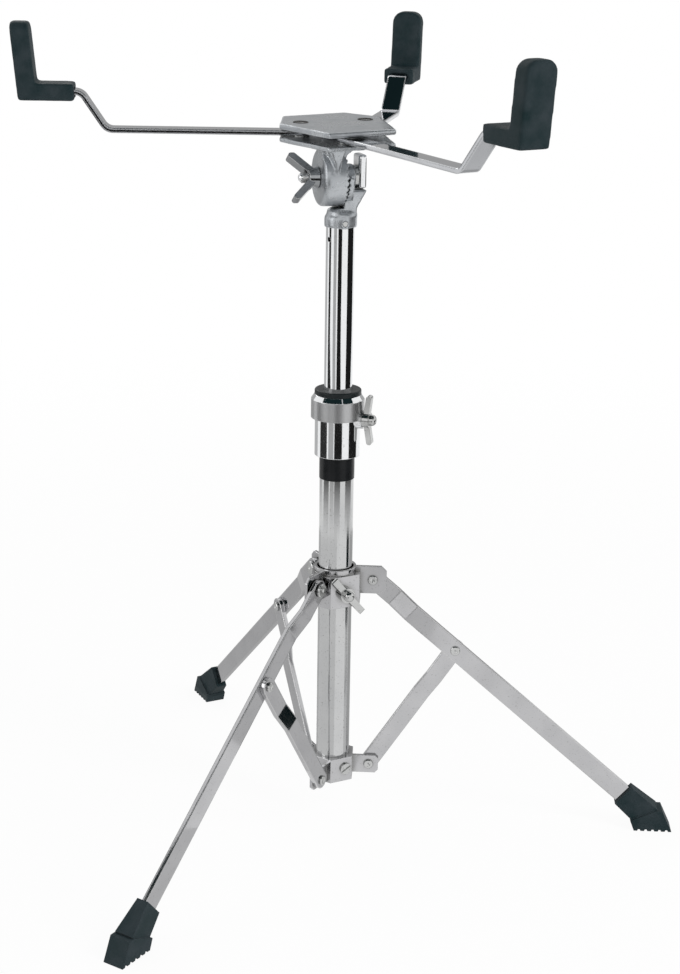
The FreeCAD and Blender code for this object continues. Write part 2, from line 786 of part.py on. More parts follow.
def lay_rivet(piece, azimuth, radius, layer, height):
    """Lay a rivet across a leg, its grip starting at a layer."""
    place(piece, turn(Z_AXIS, f"first_leg_azimuth + {azimuth}"), shift(radius, layer, height),
          turn(X_AXIS, "-90"))


def rubber_foot(name, azimuth, leg):
    """A rubber boot: a sleeve that flares along the leg and a foot with a treaded sole on the floor."""
    sleeve = new_body(name + "_sleeve")
    mouth = rectangle(sketch_on(sleeve, "XY_Plane"), "foot_mouth_width", "foot_mouth_thickness")
    end = sketch_on(sleeve, "XY_Plane", "foot_sleeve_length")
    rectangle(end, "foot_base_width", "foot_base_thickness")
    flare = sleeve.newObject("PartDesign::AdditiveLoft", name + "_flare")
    flare.Profile = mouth
    flare.Sections = [end]
    place(sleeve, turn(Z_AXIS, f"first_leg_azimuth + {azimuth}"),
          shift("mouth_radius", "0", "foot_mouth_height"), turn(Y_AXIS, "180 - leg_angle"))

    body = new_body(name + "_sole")
    heel, toe = "mouth_radius + foot_heel_setback", "mouth_radius + foot_heel_setback + foot_sole_length"
    pitch = f"foot_sole_length / {2 * TREAD_COUNT + 1}"
    tread = []
    for index in range(TREAD_COUNT):
        for step_share, depth_share in TREAD_SHARES:
            along_sole = f"{heel} + {2 * index + step_share} * {pitch}"
            tread.append((along_sole, f"{depth_share} * foot_tread_depth"))
    shoulder = f"{toe} - foot_toe_rake"
    sole = outline(sketch_on(body, "XZ_Plane"), [
        (f"{heel} - foot_heel_rake", "foot_heel_rise"), (heel, "0"), *tread, (toe, "0"),
        (shoulder, "foot_toe_rise"), (f"{shoulder} - foot_step_length", "foot_toe_rise"),
    ])
    pad(body, sole, "foot_sole_width")
    place(body, turn(Z_AXIS, f"first_leg_azimuth + {azimuth}"))
    keep(name, cut(name, boolean("Fuse", name + "_boot", sleeve, body), leg))


def tripod():
    collar_rivets, bracket_rivets = [], []
    for side, azimuth in LEGS.items():
        # One leg carries the collar, and the other two pivots have room to move.
        pivot_gap = "running_gap" if side == "right" else "collar_open_gap"
        leg = strip(
            f"leg_{side}", "strip_width", "leg_reach + leg_insert", "leg_joggle_start", "leg_joggle_length",
            "layer_step", "0", [("0", f"rivet_od / 2 + {pivot_gap}"), ("rivet_reach", "rivet_od / 2")])
        stand_strip(leg, azimuth, "collar_pivot_radius", "leg_pivot_z", turn(Y_AXIS, "90 - leg_angle"))
        keep(f"leg_{side}", leg)

        knee = "brace_length - brace_joggle_start - brace_joggle_length"
        brace = strip(
            f"brace_{side}", "brace_width", "brace_length", knee, "brace_joggle_length",
            "brace_layer", "layer_step",
            [(end, "rivet_od / 2 + running_gap") for end in ("0", "brace_length")])
        stand_strip(brace, azimuth, "bracket_pivot_radius", "brace_pivot_z",
                    turn(Y_AXIS, "brace_angle"), turn(Y_AXIS, "-90"))
        keep(f"brace_{side}", brace)

        joint = rivet(f"leg_rivet_{side}", "strip_thickness + layer_step + strip_gap")
        lay_rivet(joint, azimuth, "rivet_radius", "-strip_thickness / 2", "rivet_z")
        keep(f"leg_rivet_{side}", joint)

        grip = "lug_thickness + strip_thickness + 2 * collar_side_gap"
        top = rivet(f"collar_rivet_{side}", grip, "rivet_wide_head_od")
        lay_rivet(top, azimuth, "collar_pivot_radius", "lug_layer - lug_thickness / 2", "leg_pivot_z")
        collar_rivets.append(top)

        low = rivet(f"bracket_rivet_{side}", "lug_thickness + strip_thickness + 2 * strip_gap")
        lay_rivet(low, azimuth, "bracket_pivot_radius", "bracket_lug_layer - lug_thickness / 2",
                  "brace_pivot_z")
        bracket_rivets.append(low)

        rubber_foot(f"foot_{side}", azimuth, leg)
    keep("collar_rivets", group("collar_rivets", collar_rivets))
    keep("bracket_rivets", group("bracket_rivets", bracket_rivets))


# Tilter. Its pieces have their own X axis on the tilter's axis and their origin at the pivot.

AT_PIVOT = shift("0", "0", "pivot_z")
TO_TILTER = turn(Z_AXIS, "tilter_azimuth")
TILTED = turn("cos(tilter_azimuth); sin(tilter_azimuth); 0", "basket_tilt")


def toothed_face(body, face, radius, outward):
    """Cut shallow radial notches into a flat face that looks along the tilter's axis."""
    half = "tooth_width / 2"
    inside = f"{face} {'-' if outward else '+'} tooth_depth"
    sketch = outline(sketch_on(body, "XZ_Plane"), [
        (inside, "0"), (face, half), (face, f"-{half}"),
    ])
    notch = pocket(body, sketch, radius, "One side")
    return repeat_round(body, notch, "X_Axis", TOOTH_COUNT)


def upper_mast():
    radius = "upper_tube_od / 2"
    bore = f"{radius} - upper_tube_wall"
    tube = new_body("upper_tube_blank")
    low = "upper_tube_top_z - upper_tube_length"
    revolve(tube, [(bore, low), (radius, low), (radius, "upper_tube_top_z"), (bore, "upper_tube_top_z")])
    peep_hole = rod(
        "peep_hole_drill", "peep_hole_od / 2", "upper_tube_od",
        turn(Z_AXIS, "peep_hole_azimuth"), shift("0", "0", "base_bottom_z - peep_hole_drop"),
        turn(Y_AXIS, "90"))
    socket_pin = rod(
        "socket_pin", "socket_pin_od / 2", "socket_od",
        TO_TILTER, shift("0", "socket_od / 2", "base_bottom_z + socket_pin_rise"), turn(X_AXIS, "90"))
    keep("upper_tube", cut("upper_tube", tube, peep_hole, socket_pin))
    keep("socket_pin", socket_pin)

    base = new_body("tilter_base_blank")
    foot = "-pivot_rise"
    hood = "socket_height - pivot_rise"
    seat = "socket_depth - pivot_rise"
    revolve(base, [
        (radius, foot), ("socket_od / 2", foot), ("socket_od / 2", f"{foot} + socket_rim"),
        ("hood_radius", hood), ("0", hood), ("0", seat), (radius, seat),
    ])
    # The toothed disc is only half a disc, so the bolt's head shows above it.
    disc = circle(sketch_on(base, "YZ_Plane", "base_face"), "0", "0", "base_disc_radius")
    pad(base, disc, "base_disc_thickness", "One side")
    edge, lip = "base_disc_radius + overrun", "overrun"
    upper_half = outline(sketch_on(base, "YZ_Plane", "base_face - overrun"), [
        (f"-({edge})", lip), (edge, lip), (edge, edge), (f"-({edge})", edge),
    ])
    pocket(base, upper_half, "base_disc_thickness + 2 * overrun", "One side", back=True)
    boss = circle(sketch_on(base, "YZ_Plane", "base_face"), "0", "0", "base_boss_radius")
    pad(base, boss, "base_boss_length", "One side")
    neck = outline(sketch_on(base, "XZ_Plane"), [
        ("-neck_inset", seat), ("neck_back", seat), ("neck_back", "-neck_waist_drop"),
        ("neck_shoulder", "-neck_top_drop"), ("base_face", "-neck_top_drop"),
        ("base_face", hood), ("-neck_inset", hood),
    ])
    pad(base, neck, "neck_thickness")
    bolt_hole = circle(sketch_on(base, "YZ_Plane", "base_face - overrun"), "0", "0", "bolt_od / 2")
    pocket(base, bolt_hole, "base_boss_length + 2 * overrun", "One side", back=True)
    toothed_face(base, "base_face", "base_disc_radius + overrun", outward=False)
    place(base, AT_PIVOT, TO_TILTER)
    keep("tilter_base", cut("tilter_base", base, socket_pin))


def tilter_bolt():
    body = new_body("tilter_bolt")
    face = "base_back + washer_thickness"
    # The head is a long bar that stands on the base's shoulder, so it can't turn with the nut.
    half = "bolt_head_width / 2"
    bar = outline(sketch_on(body, "YZ_Plane", face), [
        (f"-{half}", "-bolt_head_drop"), (half, "-bolt_head_drop"),
        (half, "bolt_head_rise"), (f"-{half}", "bolt_head_rise"),
    ])
    pad(body, bar, "bolt_head_height", "One side")
    shank = circle(sketch_on(body, "YZ_Plane", face), "0", "0", "bolt_od / 2")
    length = f"{face} - head_front + turning_gap + nut_hub_height + bolt_end"
    pad(body, shank, length, "One side", back=True)

    def far_rim(edge, shape):
        return abs(edge.BoundBox.XMax - shape.BoundBox.XMin) < shape.BoundBox.XLength / 1000
    round_edges(body, "bolt_end_round", far_rim)
    place(body, AT_PIVOT, TO_TILTER)
    keep("tilter_bolt", body)

    washer = new_body("tilter_washer")
    ring = circle(sketch_on(washer, "YZ_Plane", "base_back"), "0", "0", "bolt_od / 2")
    circle(ring, "0", "0", "washer_od / 2")
    pad(washer, ring, "washer_thickness", "One side")
    place(washer, AT_PIVOT, TO_TILTER)
    keep("tilter_washer", washer)

    nut = new_body("tilter_wing_nut_blank")
    revolve(nut, [
        ("0", "0"), ("nut_hub_od / 2", "0"), ("hub_od / 2", "nut_hub_height"), ("0", "nut_hub_height"),
    ])
    wings(nut, "nut_wing_reach", "nut_wing_flare", "nut_wing_width", "nut_wing_thickness")
    place(nut, AT_PIVOT, TO_TILTER, shift("head_front - turning_gap", "0", "0"), turn(Y_AXIS, "-90"),
          turn(Z_AXIS, "nut_wing_turn"))
    bore = rod(
        "nut_bore", "bolt_hole_radius", "4 * nut_hub_height",
        AT_PIVOT, TO_TILTER, shift("head_front - 3 * nut_hub_height", "0", "0"), turn(Y_AXIS, "90"))
    keep("tilter_wing_nut", cut("tilter_wing_nut", nut, bore))


# Plates and basket, all tilted about the tilter's axis.

def plate_outline(sketch, turned_back):
    """Six corners, given from the mast's axis and turned back by an angle."""
    corners = []
    for corner in PLATE_CORNERS:
        x, y = f"plate_{corner}_x", f"plate_{corner}_y"
        corners.append((
            f"{x} * cos({turned_back}) + {y} * sin({turned_back})",
            f"{y} * cos({turned_back}) - {x} * sin({turned_back})",
        ))
    return outline(sketch, corners)


def pivot_screws():
    """The arms' pivots: two screws from above and one from below."""
    screws = []
    for arm in ARMS:
        from_below = arm == "right"
        last = "top_plate_thickness / 2" if from_below else "top_plate_thickness"
        screw = slotted_screw(f"pivot_screw_{arm}", "pivot_screw_head_od", "pivot_screw_head_height",
                              "pivot_screw_od", f"lower_plate_thickness + plate_gap + {last}", tapered=True)
        seat = "plate_rise" if from_below else "top_plate_top"
        over = turn(X_AXIS, "180") if from_below else turn(Z_AXIS, "60")
        place(screw, AT_PIVOT, TILTED, shift(f"{arm}_pivot_x", f"{arm}_pivot_y", seat), over)
        screws.append(screw)
    return screws


def pivot_washers():
    washers = []
    for arm in ARMS:
        for level in ("lower_plate_top", "top_plate_bottom - pivot_washer_thickness"):
            washer = new_body(f"pivot_washer_{arm}")
            ring = circle(sketch_on(washer, "XY_Plane", level), "0", "0", "pivot_screw_od / 2")
            circle(ring, "0", "0", "pivot_washer_od / 2")
            pad(washer, ring, "pivot_washer_thickness", "One side")
            place(washer, AT_PIVOT, TILTED, shift(f"{arm}_pivot_x", f"{arm}_pivot_y", "0"))
            washers.append(washer)
    return washers


def basket_head():
    head = new_body("tilter_head_blank")
    drum = circle(sketch_on(head, "YZ_Plane", "head_front"), "0", "0", "head_drum_radius")
    pad(head, drum, "head_drum_length", "One side")

    def front_rim(edge, shape):
        return abs(edge.BoundBox.XMax - shape.BoundBox.XMin) < shape.BoundBox.XLength / 1000
    round_edges(head, "head_drum_round", front_rim)
    flare_low = "plate_rise - head_flare_height"
    neck = outline(sketch_on(head, "XZ_Plane"), [
        ("head_front + head_drum_round", "0"), ("joint_offset", "0"),
        ("joint_offset", "plate_rise - head_shoulder_height"), ("joint_offset + head_shoulder", "plate_rise"),
        ("head_front - head_flare", "plate_rise"),
        ("head_front + head_drum_round", f"{flare_low} - head_flare"),
    ])
    pad(head, neck, "head_neck_thickness")
    rib = outline(sketch_on(head, "XZ_Plane"), [
        ("rib_shift - rib_width / 2", "plate_rise"), ("rib_shift", "plate_rise - rib_depth"),
        ("rib_shift + rib_width / 2", "plate_rise"),
    ])
    pad(head, rib, "rib_reach", "One side")
    plate = plate_outline(sketch_on(head, "XY_Plane", "plate_rise"), "tilter_azimuth")
    pad(head, plate, "lower_plate_thickness", "One side")
    bolt_hole = circle(sketch_on(head, "YZ_Plane", "head_front - overrun"), "0", "0", "bolt_hole_radius")
    pocket(head, bolt_hole, "head_drum_length + 2 * overrun", "One side", back=True)
    toothed_face(head, "joint_offset", "head_drum_radius + overrun", outward=True)
    place(head, AT_PIVOT, TILTED, TO_TILTER)

    top = new_body("top_plate_blank")
    face = plate_outline(sketch_on(top, "XY_Plane", "top_plate_bottom"), "0")
    pad(top, face, "top_plate_thickness", "One side")
    round_edges(top, "plate_round", at_an_end)
    place(top, AT_PIVOT, TILTED)

    screws = pivot_screws()
    keep("tilter_head", cut("tilter_head", head, *screws))
    keep("top_plate", cut("top_plate", top, *screws))
    keep("pivot_screws", group("pivot_screws", screws))
    keep("pivot_washers", group("pivot_washers", pivot_washers()))


def bend_edges(rise, inside):
    """A test for the edges across an arm at its three bends, on the inside or the outside of each bend."""
    thickness = sheet.get("arm_thickness")
    levels = (thickness, rise, rise + thickness) if inside else (0, rise + thickness, rise)

    def chosen(edge, shape):
        level = edge.CenterOfMass.z - shape.BoundBox.ZMin
        if not along("Y")(edge, shape) or edge.CenterOfMass.x < 0:
            return False
        in_the_open = edge.CenterOfMass.x < shape.BoundBox.XMax - sheet.get("tip_length")
        wanted = levels[:2] if in_the_open else levels[2:]
        return any(abs(level - height) < thickness / 100 for height in wanted)
    return chosen


def basket_arm(arm):
    """A flat strip that steps up once and bends up again inside its rubber tip."""
    reach, rise = f"{arm}_reach", f"{arm}_rise"
    knee, shelf = f"{reach} - arm_shelf - {arm}_run", f"{reach} - arm_shelf"
    core = f"{reach} + tip_length - tip_core_wall"
    core_lean = "arm_core_rise * tan(tip_lean)"
    mitre = f"arm_thickness * tan(atan({rise} / {arm}_run) / 2)"
    low, high = "arm_bottom", f"arm_bottom + {rise}"
    bent = new_body(f"arm_{arm}_bent")
    profile = outline(sketch_on(bent, "XZ_Plane"), [
        ("-arm_width", low), (knee, low), (shelf, high), (core, high),
        (f"{core} + {core_lean}", f"{high} + arm_core_rise"),
        (f"{core} + {core_lean} - arm_thickness", f"{high} + arm_core_rise"),
        (f"{core} - arm_thickness", f"{high} + arm_thickness"),
        (f"{shelf} - {mitre}", f"{high} + arm_thickness"),
        (f"{knee} - {mitre}", f"{low} + arm_thickness"), ("-arm_width", f"{low} + arm_thickness"),
    ])
    pad(bent, profile, "arm_width + overrun")
    round_edges(bent, "arm_bend_radius", bend_edges(sheet.get(rise), inside=True))
    round_edges(bent, "arm_bend_radius + arm_thickness", bend_edges(sheet.get(rise), inside=False))
    face = new_body(f"arm_{arm}_face")
    sketch = slot(sketch_on(face, "XY_Plane", "arm_bottom - overrun"), f"{core} + 2 * arm_width", "arm_width")
    circle(sketch, "0", "0", "pivot_screw_od / 2 + running_gap")
    pad(face, sketch, f"{rise} + arm_core_rise + 3 * overrun", "One side")
    piece = boolean("Common", f"arm_{arm}", bent, face)
    pivot = shift(f"{arm}_pivot_x", f"{arm}_pivot_y", "0")
    place(piece, AT_PIVOT, TILTED, pivot, turn(Z_AXIS, f"{arm}_azimuth"))
    keep(f"arm_{arm}", piece)
    return piece


def rubber_tip(arm, strip_end):
    """An L of rubber: a leg along the arm's end and a leaning finger with an arched top."""
    inner = f"{arm}_reach"
    outer = f"{inner} + tip_length"
    bottom = f"arm_bottom + {arm}_rise - tip_core_wall"
    top = f"{bottom} + tip_height"
    lean = "tip_height * tan(tip_lean)"
    shelf = f"{bottom} + tip_leg_height"
    body = new_body(f"tip_{arm}_blank")
    profile = outline(sketch_on(body, "XZ_Plane"), [
        (inner, bottom), (outer, bottom), (f"{outer} + {lean}", top),
        (f"{outer} + {lean} - tip_thickness", top),
        (f"{outer} + tip_leg_height * tan(tip_lean) - tip_thickness", shelf), (inner, shelf),
    ])
    pad(body, profile, "tip_width")

    def top_side(edge, shape):
        high = edge.BoundBox.ZMin > shape.BoundBox.ZMax - shape.BoundBox.ZLength / 1000
        return high and along("X")(edge, shape)
    round_edges(body, "tip_arch", top_side)

    def finger_edge(edge, shape):
        box = edge.BoundBox
        in_a_side_plane = box.YLength < box.DiagonalLength / 1000
        return box.ZMax > shape.BoundBox.ZMax - shape.BoundBox.ZLength / 1000 and not in_a_side_plane
    round_edges(body, "tip_round", finger_edge)
    place(body, AT_PIVOT, TILTED, shift(f"{arm}_pivot_x", f"{arm}_pivot_y", "0"),
          turn(Z_AXIS, f"{arm}_azimuth"))
    keep(f"tip_{arm}", cut(f"tip_{arm}", body, strip_end))


def build():
    mast()
    foot_bracket()
    leg_collar()
    tripod()
    upper_mast()
    tilter_bolt()
    basket_head()
    for arm in ARMS:
        rubber_tip(arm, basket_arm(arm))
    doc.recompute()


def check():
    """Stop if any object failed or any finished piece has no sound solid."""
    failed = [item.Name for item in doc.Objects if {"Invalid", "Error"} & set(item.State)]
    if failed:
        raise RuntimeError("failed objects: " + ", ".join(failed))
    for name, piece in nodes.items():
        if piece.Shape.isNull() or not piece.Shape.isValid() or not piece.Shape.Solids:
            raise RuntimeError("bad shape: " + name)


def export():
    os.makedirs("parts", exist_ok=True)
    for name, piece in nodes.items():
        piece.Shape.exportStep(f"parts/{name}.step")
        print(f"{name}: {len(piece.Shape.Solids)} solids, {piece.Shape.Volume:.0f} mm3")


build()
check()
export()
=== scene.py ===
# %% [markdown]
# # A snare drum stand
# This lesson dresses an imported model of a folding snare drum stand. The model's own solids stay where they
# are, because they already have the right shape. What is added here is the finish of every surface, rounder
# castings and rubber, and small details that repeat. The first cell loads the model and keeps its box, whose
# middle the lamps and cards face.

import math

import bmesh
import bpy
from mathutils import Matrix, Vector


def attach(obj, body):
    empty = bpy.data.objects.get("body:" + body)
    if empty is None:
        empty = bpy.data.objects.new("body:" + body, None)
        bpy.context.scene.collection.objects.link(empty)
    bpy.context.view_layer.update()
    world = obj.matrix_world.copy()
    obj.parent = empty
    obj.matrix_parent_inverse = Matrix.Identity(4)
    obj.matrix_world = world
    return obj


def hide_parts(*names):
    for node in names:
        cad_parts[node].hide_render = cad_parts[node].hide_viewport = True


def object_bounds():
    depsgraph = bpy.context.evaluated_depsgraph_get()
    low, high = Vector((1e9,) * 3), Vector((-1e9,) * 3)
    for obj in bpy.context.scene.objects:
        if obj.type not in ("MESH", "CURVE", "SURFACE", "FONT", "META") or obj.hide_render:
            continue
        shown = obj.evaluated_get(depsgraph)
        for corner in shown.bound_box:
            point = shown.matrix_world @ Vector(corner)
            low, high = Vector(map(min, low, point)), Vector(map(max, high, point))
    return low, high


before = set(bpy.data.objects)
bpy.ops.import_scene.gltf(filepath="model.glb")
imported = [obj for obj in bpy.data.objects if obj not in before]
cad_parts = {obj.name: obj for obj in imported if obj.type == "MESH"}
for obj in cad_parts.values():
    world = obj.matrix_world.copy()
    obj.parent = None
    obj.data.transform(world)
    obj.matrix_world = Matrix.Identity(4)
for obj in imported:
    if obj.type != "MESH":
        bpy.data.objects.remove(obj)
cad_low, cad_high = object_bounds()

# %% [markdown]
# ## The camera
# The photograph looks slightly down at the stand from its front, at about the height of the basket. The
# place and the angles were found by laying the model's outline over the photograph. Building the camera's
# axes by hand is plainer here than aiming a constraint, because the picture is also rolled by one degree.

# %% Place the camera
scene = bpy.context.scene
scene.view_settings.view_transform = "Standard"
CAMERA_PLACE = Vector((0.0, -1.1153, 0.586))
CAMERA_DOWN = math.radians(17.45)
CAMERA_ROLL = math.radians(0.92)
CAMERA_YAW = -0.002
FOCAL_PIXELS = 1800.0
PICTURE_HEIGHT = 974.0
SENSOR = 36.0

level_right = Vector((math.cos(CAMERA_YAW), math.sin(CAMERA_YAW), 0))
level_ahead = Vector((-math.sin(CAMERA_YAW), math.cos(CAMERA_YAW), 0))
ahead = level_ahead * math.cos(CAMERA_DOWN) - Vector((0, 0, 1)) * math.sin(CAMERA_DOWN)
above = level_ahead * math.sin(CAMERA_DOWN) + Vector((0, 0, 1)) * math.cos(CAMERA_DOWN)
camera_x = level_right * math.cos(CAMERA_ROLL) + above * math.sin(CAMERA_ROLL)
camera_y = above * math.cos(CAMERA_ROLL) - level_right * math.sin(CAMERA_ROLL)

lens = bpy.data.cameras.new("photo_camera")
lens.sensor_width = SENSOR
lens.lens = FOCAL_PIXELS / PICTURE_HEIGHT * SENSOR
camera = bpy.data.objects.new("photo_camera", lens)
scene.collection.objects.link(camera)
camera_axes = Matrix((camera_x, camera_y, -ahead)).transposed()
camera.matrix_world = Matrix.Translation(CAMERA_PLACE) @ camera_axes.to_4x4()
scene.camera = camera
print("lens in millimetres:", round(lens.lens, 2))

# %% [markdown]
# ## The studio
# Chrome has no colour of its own: it shows the room. A catalogue picture of chrome is taken in a white
# surround, and dark cards that the camera doesn't see give the bright tubes their stripes. An upright tube
# seen from slightly above mirrors the floor around it, so its stripes come from long dark cards that lie on
# the floor like the blades of a fan. Flat tops mirror what stands behind the set, and sloping faces mirror
# the ceiling.

# %% White surround and floor
WHITE = (1, 1, 1, 1)
AMBIENT_SHARE = 0.55
FLOOR_SIDE = 14.0
FLOOR_COLOUR = (0.93, 0.93, 0.93, 1)
FLOOR_GLOW_SHARE = 0.94
FADE_START, FADE_END = 0.45, 1.5


def add_node(tree, kind, values=None, **settings):
    """Add a node with its settings and the values of its unlinked inputs."""
    made = tree.nodes.new(kind)
    for name, value in settings.items():
        setattr(made, name, value)
    for name, value in (values or {}).items():
        made.inputs[name].default_value = value
    return made


def seen_directly(tree):
    """One for a ray from the camera, a mirror or glass, and zero for the light that falls on things."""
    path = add_node(tree, "ShaderNodeLightPath")
    mirror = add_node(tree, "ShaderNodeMath", operation="MAXIMUM")
    tree.links.new(path.outputs["Is Camera Ray"], mirror.inputs[0])
    tree.links.new(path.outputs["Is Glossy Ray"], mirror.inputs[1])
    glass = add_node(tree, "ShaderNodeMath", operation="MAXIMUM")
    tree.links.new(mirror.outputs[0], glass.inputs[0])
    tree.links.new(path.outputs["Is Transmission Ray"], glass.inputs[1])
    return glass.outputs[0]


def new_material(name):
    """An empty node material and its tree."""
    material = bpy.data.materials.new(name)
    material.use_nodes = True
    material.node_tree.nodes.clear()
    return material, material.node_tree


def fade(tree, near, far, near_value, far_value):
    """A value that changes smoothly with the distance from the object's own origin."""
    where = add_node(tree, "ShaderNodeTexCoord")
    away = add_node(tree, "ShaderNodeVectorMath", operation="LENGTH")
    tree.links.new(where.outputs["Object"], away.inputs[0])
    smooth = add_node(tree, "ShaderNodeMapRange", {
        "From Min": near, "From Max": far, "To Min": near_value, "To Max": far_value},
        interpolation_type="SMOOTHSTEP")
    tree.links.new(away.outputs["Value"], smooth.inputs["Value"])
    return smooth.outputs["Result"]


def stage_piece(name, points, faces, material):
    """A piece of the set, which isn't part of the stand."""
    mesh = bpy.data.meshes.new(name)
    mesh.from_pydata(points, [], faces)
    mesh.materials.append(material)
    made = bpy.data.objects.new(name, mesh)
    scene.collection.objects.link(made)
    return made


surround = bpy.data.worlds.new("white_surround")
scene.world = surround
surround.use_nodes = True
sky = surround.node_tree
sky.nodes.clear()
sky_strength = add_node(sky, "ShaderNodeMapRange", {"To Min": AMBIENT_SHARE, "To Max": 1.0})
sky.links.new(seen_directly(sky), sky_strength.inputs["Value"])
sky_light = add_node(sky, "ShaderNodeBackground", {"Color": WHITE})
sky.links.new(sky_strength.outputs["Result"], sky_light.inputs["Strength"])
sky_out = add_node(sky, "ShaderNodeOutputWorld")
sky.links.new(sky_light.outputs[0], sky_out.inputs["Surface"])

paper, paper_tree = new_material("floor_paper")
paper_matt = add_node(paper_tree, "ShaderNodeBsdfDiffuse", {"Color": FLOOR_COLOUR})
paper_glow = add_node(paper_tree, "ShaderNodeEmission", {"Color": WHITE, "Strength": 1.0})
paper_share = add_node(paper_tree, "ShaderNodeMath", operation="MULTIPLY")
paper_tree.links.new(seen_directly(paper_tree), paper_share.inputs[0])
paper_tree.links.new(fade(paper_tree, FADE_START, FADE_END, FLOOR_GLOW_SHARE, 1.0), paper_share.inputs[1])
paper_mix = add_node(paper_tree, "ShaderNodeMixShader")
paper_tree.links.new(paper_share.outputs[0], paper_mix.inputs["Fac"])
paper_tree.links.new(paper_matt.outputs[0], paper_mix.inputs[1])
paper_tree.links.new(paper_glow.outputs[0], paper_mix.inputs[2])
paper_out = add_node(paper_tree, "ShaderNodeOutputMaterial")
paper_tree.links.new(paper_mix.outputs[0], paper_out.inputs["Surface"])
half_floor = FLOOR_SIDE / 2
stage_piece("floor", [(-half_floor, -half_floor, 0), (half_floor, -half_floor, 0),
                      (half_floor, half_floor, 0), (-half_floor, half_floor, 0)], [(0, 1, 2, 3)], paper)
print("floor side in metres:", FLOOR_SIDE)

# %% Soft lamps
MIDDLE = (cad_low + cad_high) / 2
# The key lamp would burn a white spot into the chrome, so mirrors don't see it.
HIDDEN_FROM_MIRRORS = ("key_softbox",)
LAMPS = {
    # name: (place, width, height, power in watts)
    "key_softbox": ((1.7, -1.1, 1.5), 0.7, 1.5, 24.0),
    "fill_softbox": ((-1.9, -0.9, 0.9), 0.9, 1.6, 6.0),
    "back_softbox": ((-0.9, 1.9, 1.5), 0.9, 0.7, 5.0),
}


def facing(place, forward):
    """A matrix at a place, turned so that one of its axes looks at the middle of the stand."""
    turn = (MIDDLE - Vector(place)).to_track_quat(forward, "Y")
    return Matrix.Translation(place) @ turn.to_matrix().to_4x4()


for lamp_name, (place, width, height, power) in LAMPS.items():
    light = bpy.data.lights.new(lamp_name, "AREA")
    light.shape = "RECTANGLE"
    light.size, light.size_y, light.energy = width, height, power
    lamp = bpy.data.objects.new(lamp_name, light)
    scene.collection.objects.link(lamp)
    lamp.matrix_world = facing(place, "-Z")
    lamp.visible_glossy = lamp_name not in HIDDEN_FROM_MIRRORS
print("lamps:", len(LAMPS))

# %% [markdown]
# ## Cards for the mirrors
# A dark card is there for the mirrors alone: it hides nothing and casts no shade. The fan's blades fade
# towards the stand, because the lower tube mirrors the near floor and is pale, and a second ring of soft
# greys lies there for it. The blades' angles are read off the stripes of the upper tube: the mirror at an
# angle round the tube looks twice as far round the floor. The blades reach far out, so that a low view shows
# stripes too.

# %% Cards and fan
CARDS = {
    # name: (place, width, height, brightness)
    "ceiling_card": ((0.0, -0.4, 2.2), 4.4, 3.4, 0.02),
    "grey_backdrop": ((0.0, 3.2, 0.95), 9.0, 1.6, 0.42),
    "white_card_left": ((-1.3, 0.25, 1.85), 0.9, 0.9, 1.0),
    "dark_card_right": ((0.86, -0.57, 0.85), 0.8, 0.5, 0.03),
    "white_card_right": ((0.46, -0.19, 0.47), 0.36, 0.2, 1.0),
}
FAN = {
    # name: (first and last angle near the stand, first and last angle far from it, brightness); the angles
    # run from the front to the right
    "front_blade": (-15, 24, -16, 14, 0.012),
    "right_blade": (60, 112, 63, 127, 0.012),
    "left_blade": (-96, -54, -99, -77, 0.03),
    "grey_left_blade": (-46, -19, -52, -27, 0.42),
    "grey_rear_blade": (-178, -118, -178, -118, 0.5),
}
FAN_RADII = (0.58, 1.05, 1.50, 6.5)
FAN_FADE_END = 0.84
NEAR_FAN = {
    # name: (first and last angle, inner and outer radius, brightness)
    "near_left": (-125, 8, 0.04, 0.60, 0.78),
    "near_right": (78, 112, 0.04, 0.60, 0.72),
    "near_rear_right": (112, 180, 0.04, 0.60, 0.48),
    "near_rear_left": (-180, -125, 0.04, 0.60, 0.60),
    "near_dark_patch": (79, 100, 0.35, 0.60, 0.012),
}
FAN_RISE = 0.001
FAN_STEPS = 12
# Three of the dark pieces are a little green and blue, as the dark parts of the photographed chrome are.
DARK_TINT = (0.45, 1.0, 1.1, 1)
DARK_PIECES = ("ceiling_card", "dark_card_right", "near_dark_patch")


def mirror_only(made):
    """Show a piece of the set in mirrors and nowhere else."""
    made.visible_camera = False
    made.visible_diffuse = False
    made.visible_shadow = False
    made.visible_transmission = False


def glowing(name, brightness):
    """A material of one even brightness, or of a brightness that a socket gives."""
    material, tree = new_material(name)
    tint = DARK_TINT if name in DARK_PIECES else WHITE
    glow = add_node(tree, "ShaderNodeEmission", {"Color": tint})
    if callable(brightness):
        tree.links.new(brightness(tree), glow.inputs["Strength"])
    else:
        glow.inputs["Strength"].default_value = brightness
    out = add_node(tree, "ShaderNodeOutputMaterial")
    tree.links.new(glow.outputs[0], out.inputs["Surface"])
    return material


for card_name, (place, width, height, brightness) in CARDS.items():
    half_width, half_height = width / 2, height / 2
    card_corners = [(-half_width, -half_height, 0), (half_width, -half_height, 0),
                    (half_width, half_height, 0), (-half_width, half_height, 0)]
    made = stage_piece(card_name, card_corners, [(0, 1, 2, 3)], glowing(card_name, brightness))
    made.matrix_world = facing(place, "Z")
    mirror_only(made)


def faded(brightness):
    """The brightness of a blade, which fades into the floor near the stand."""
    return lambda tree: fade(tree, FAN_RADII[0], FAN_FADE_END, 1.0, brightness)


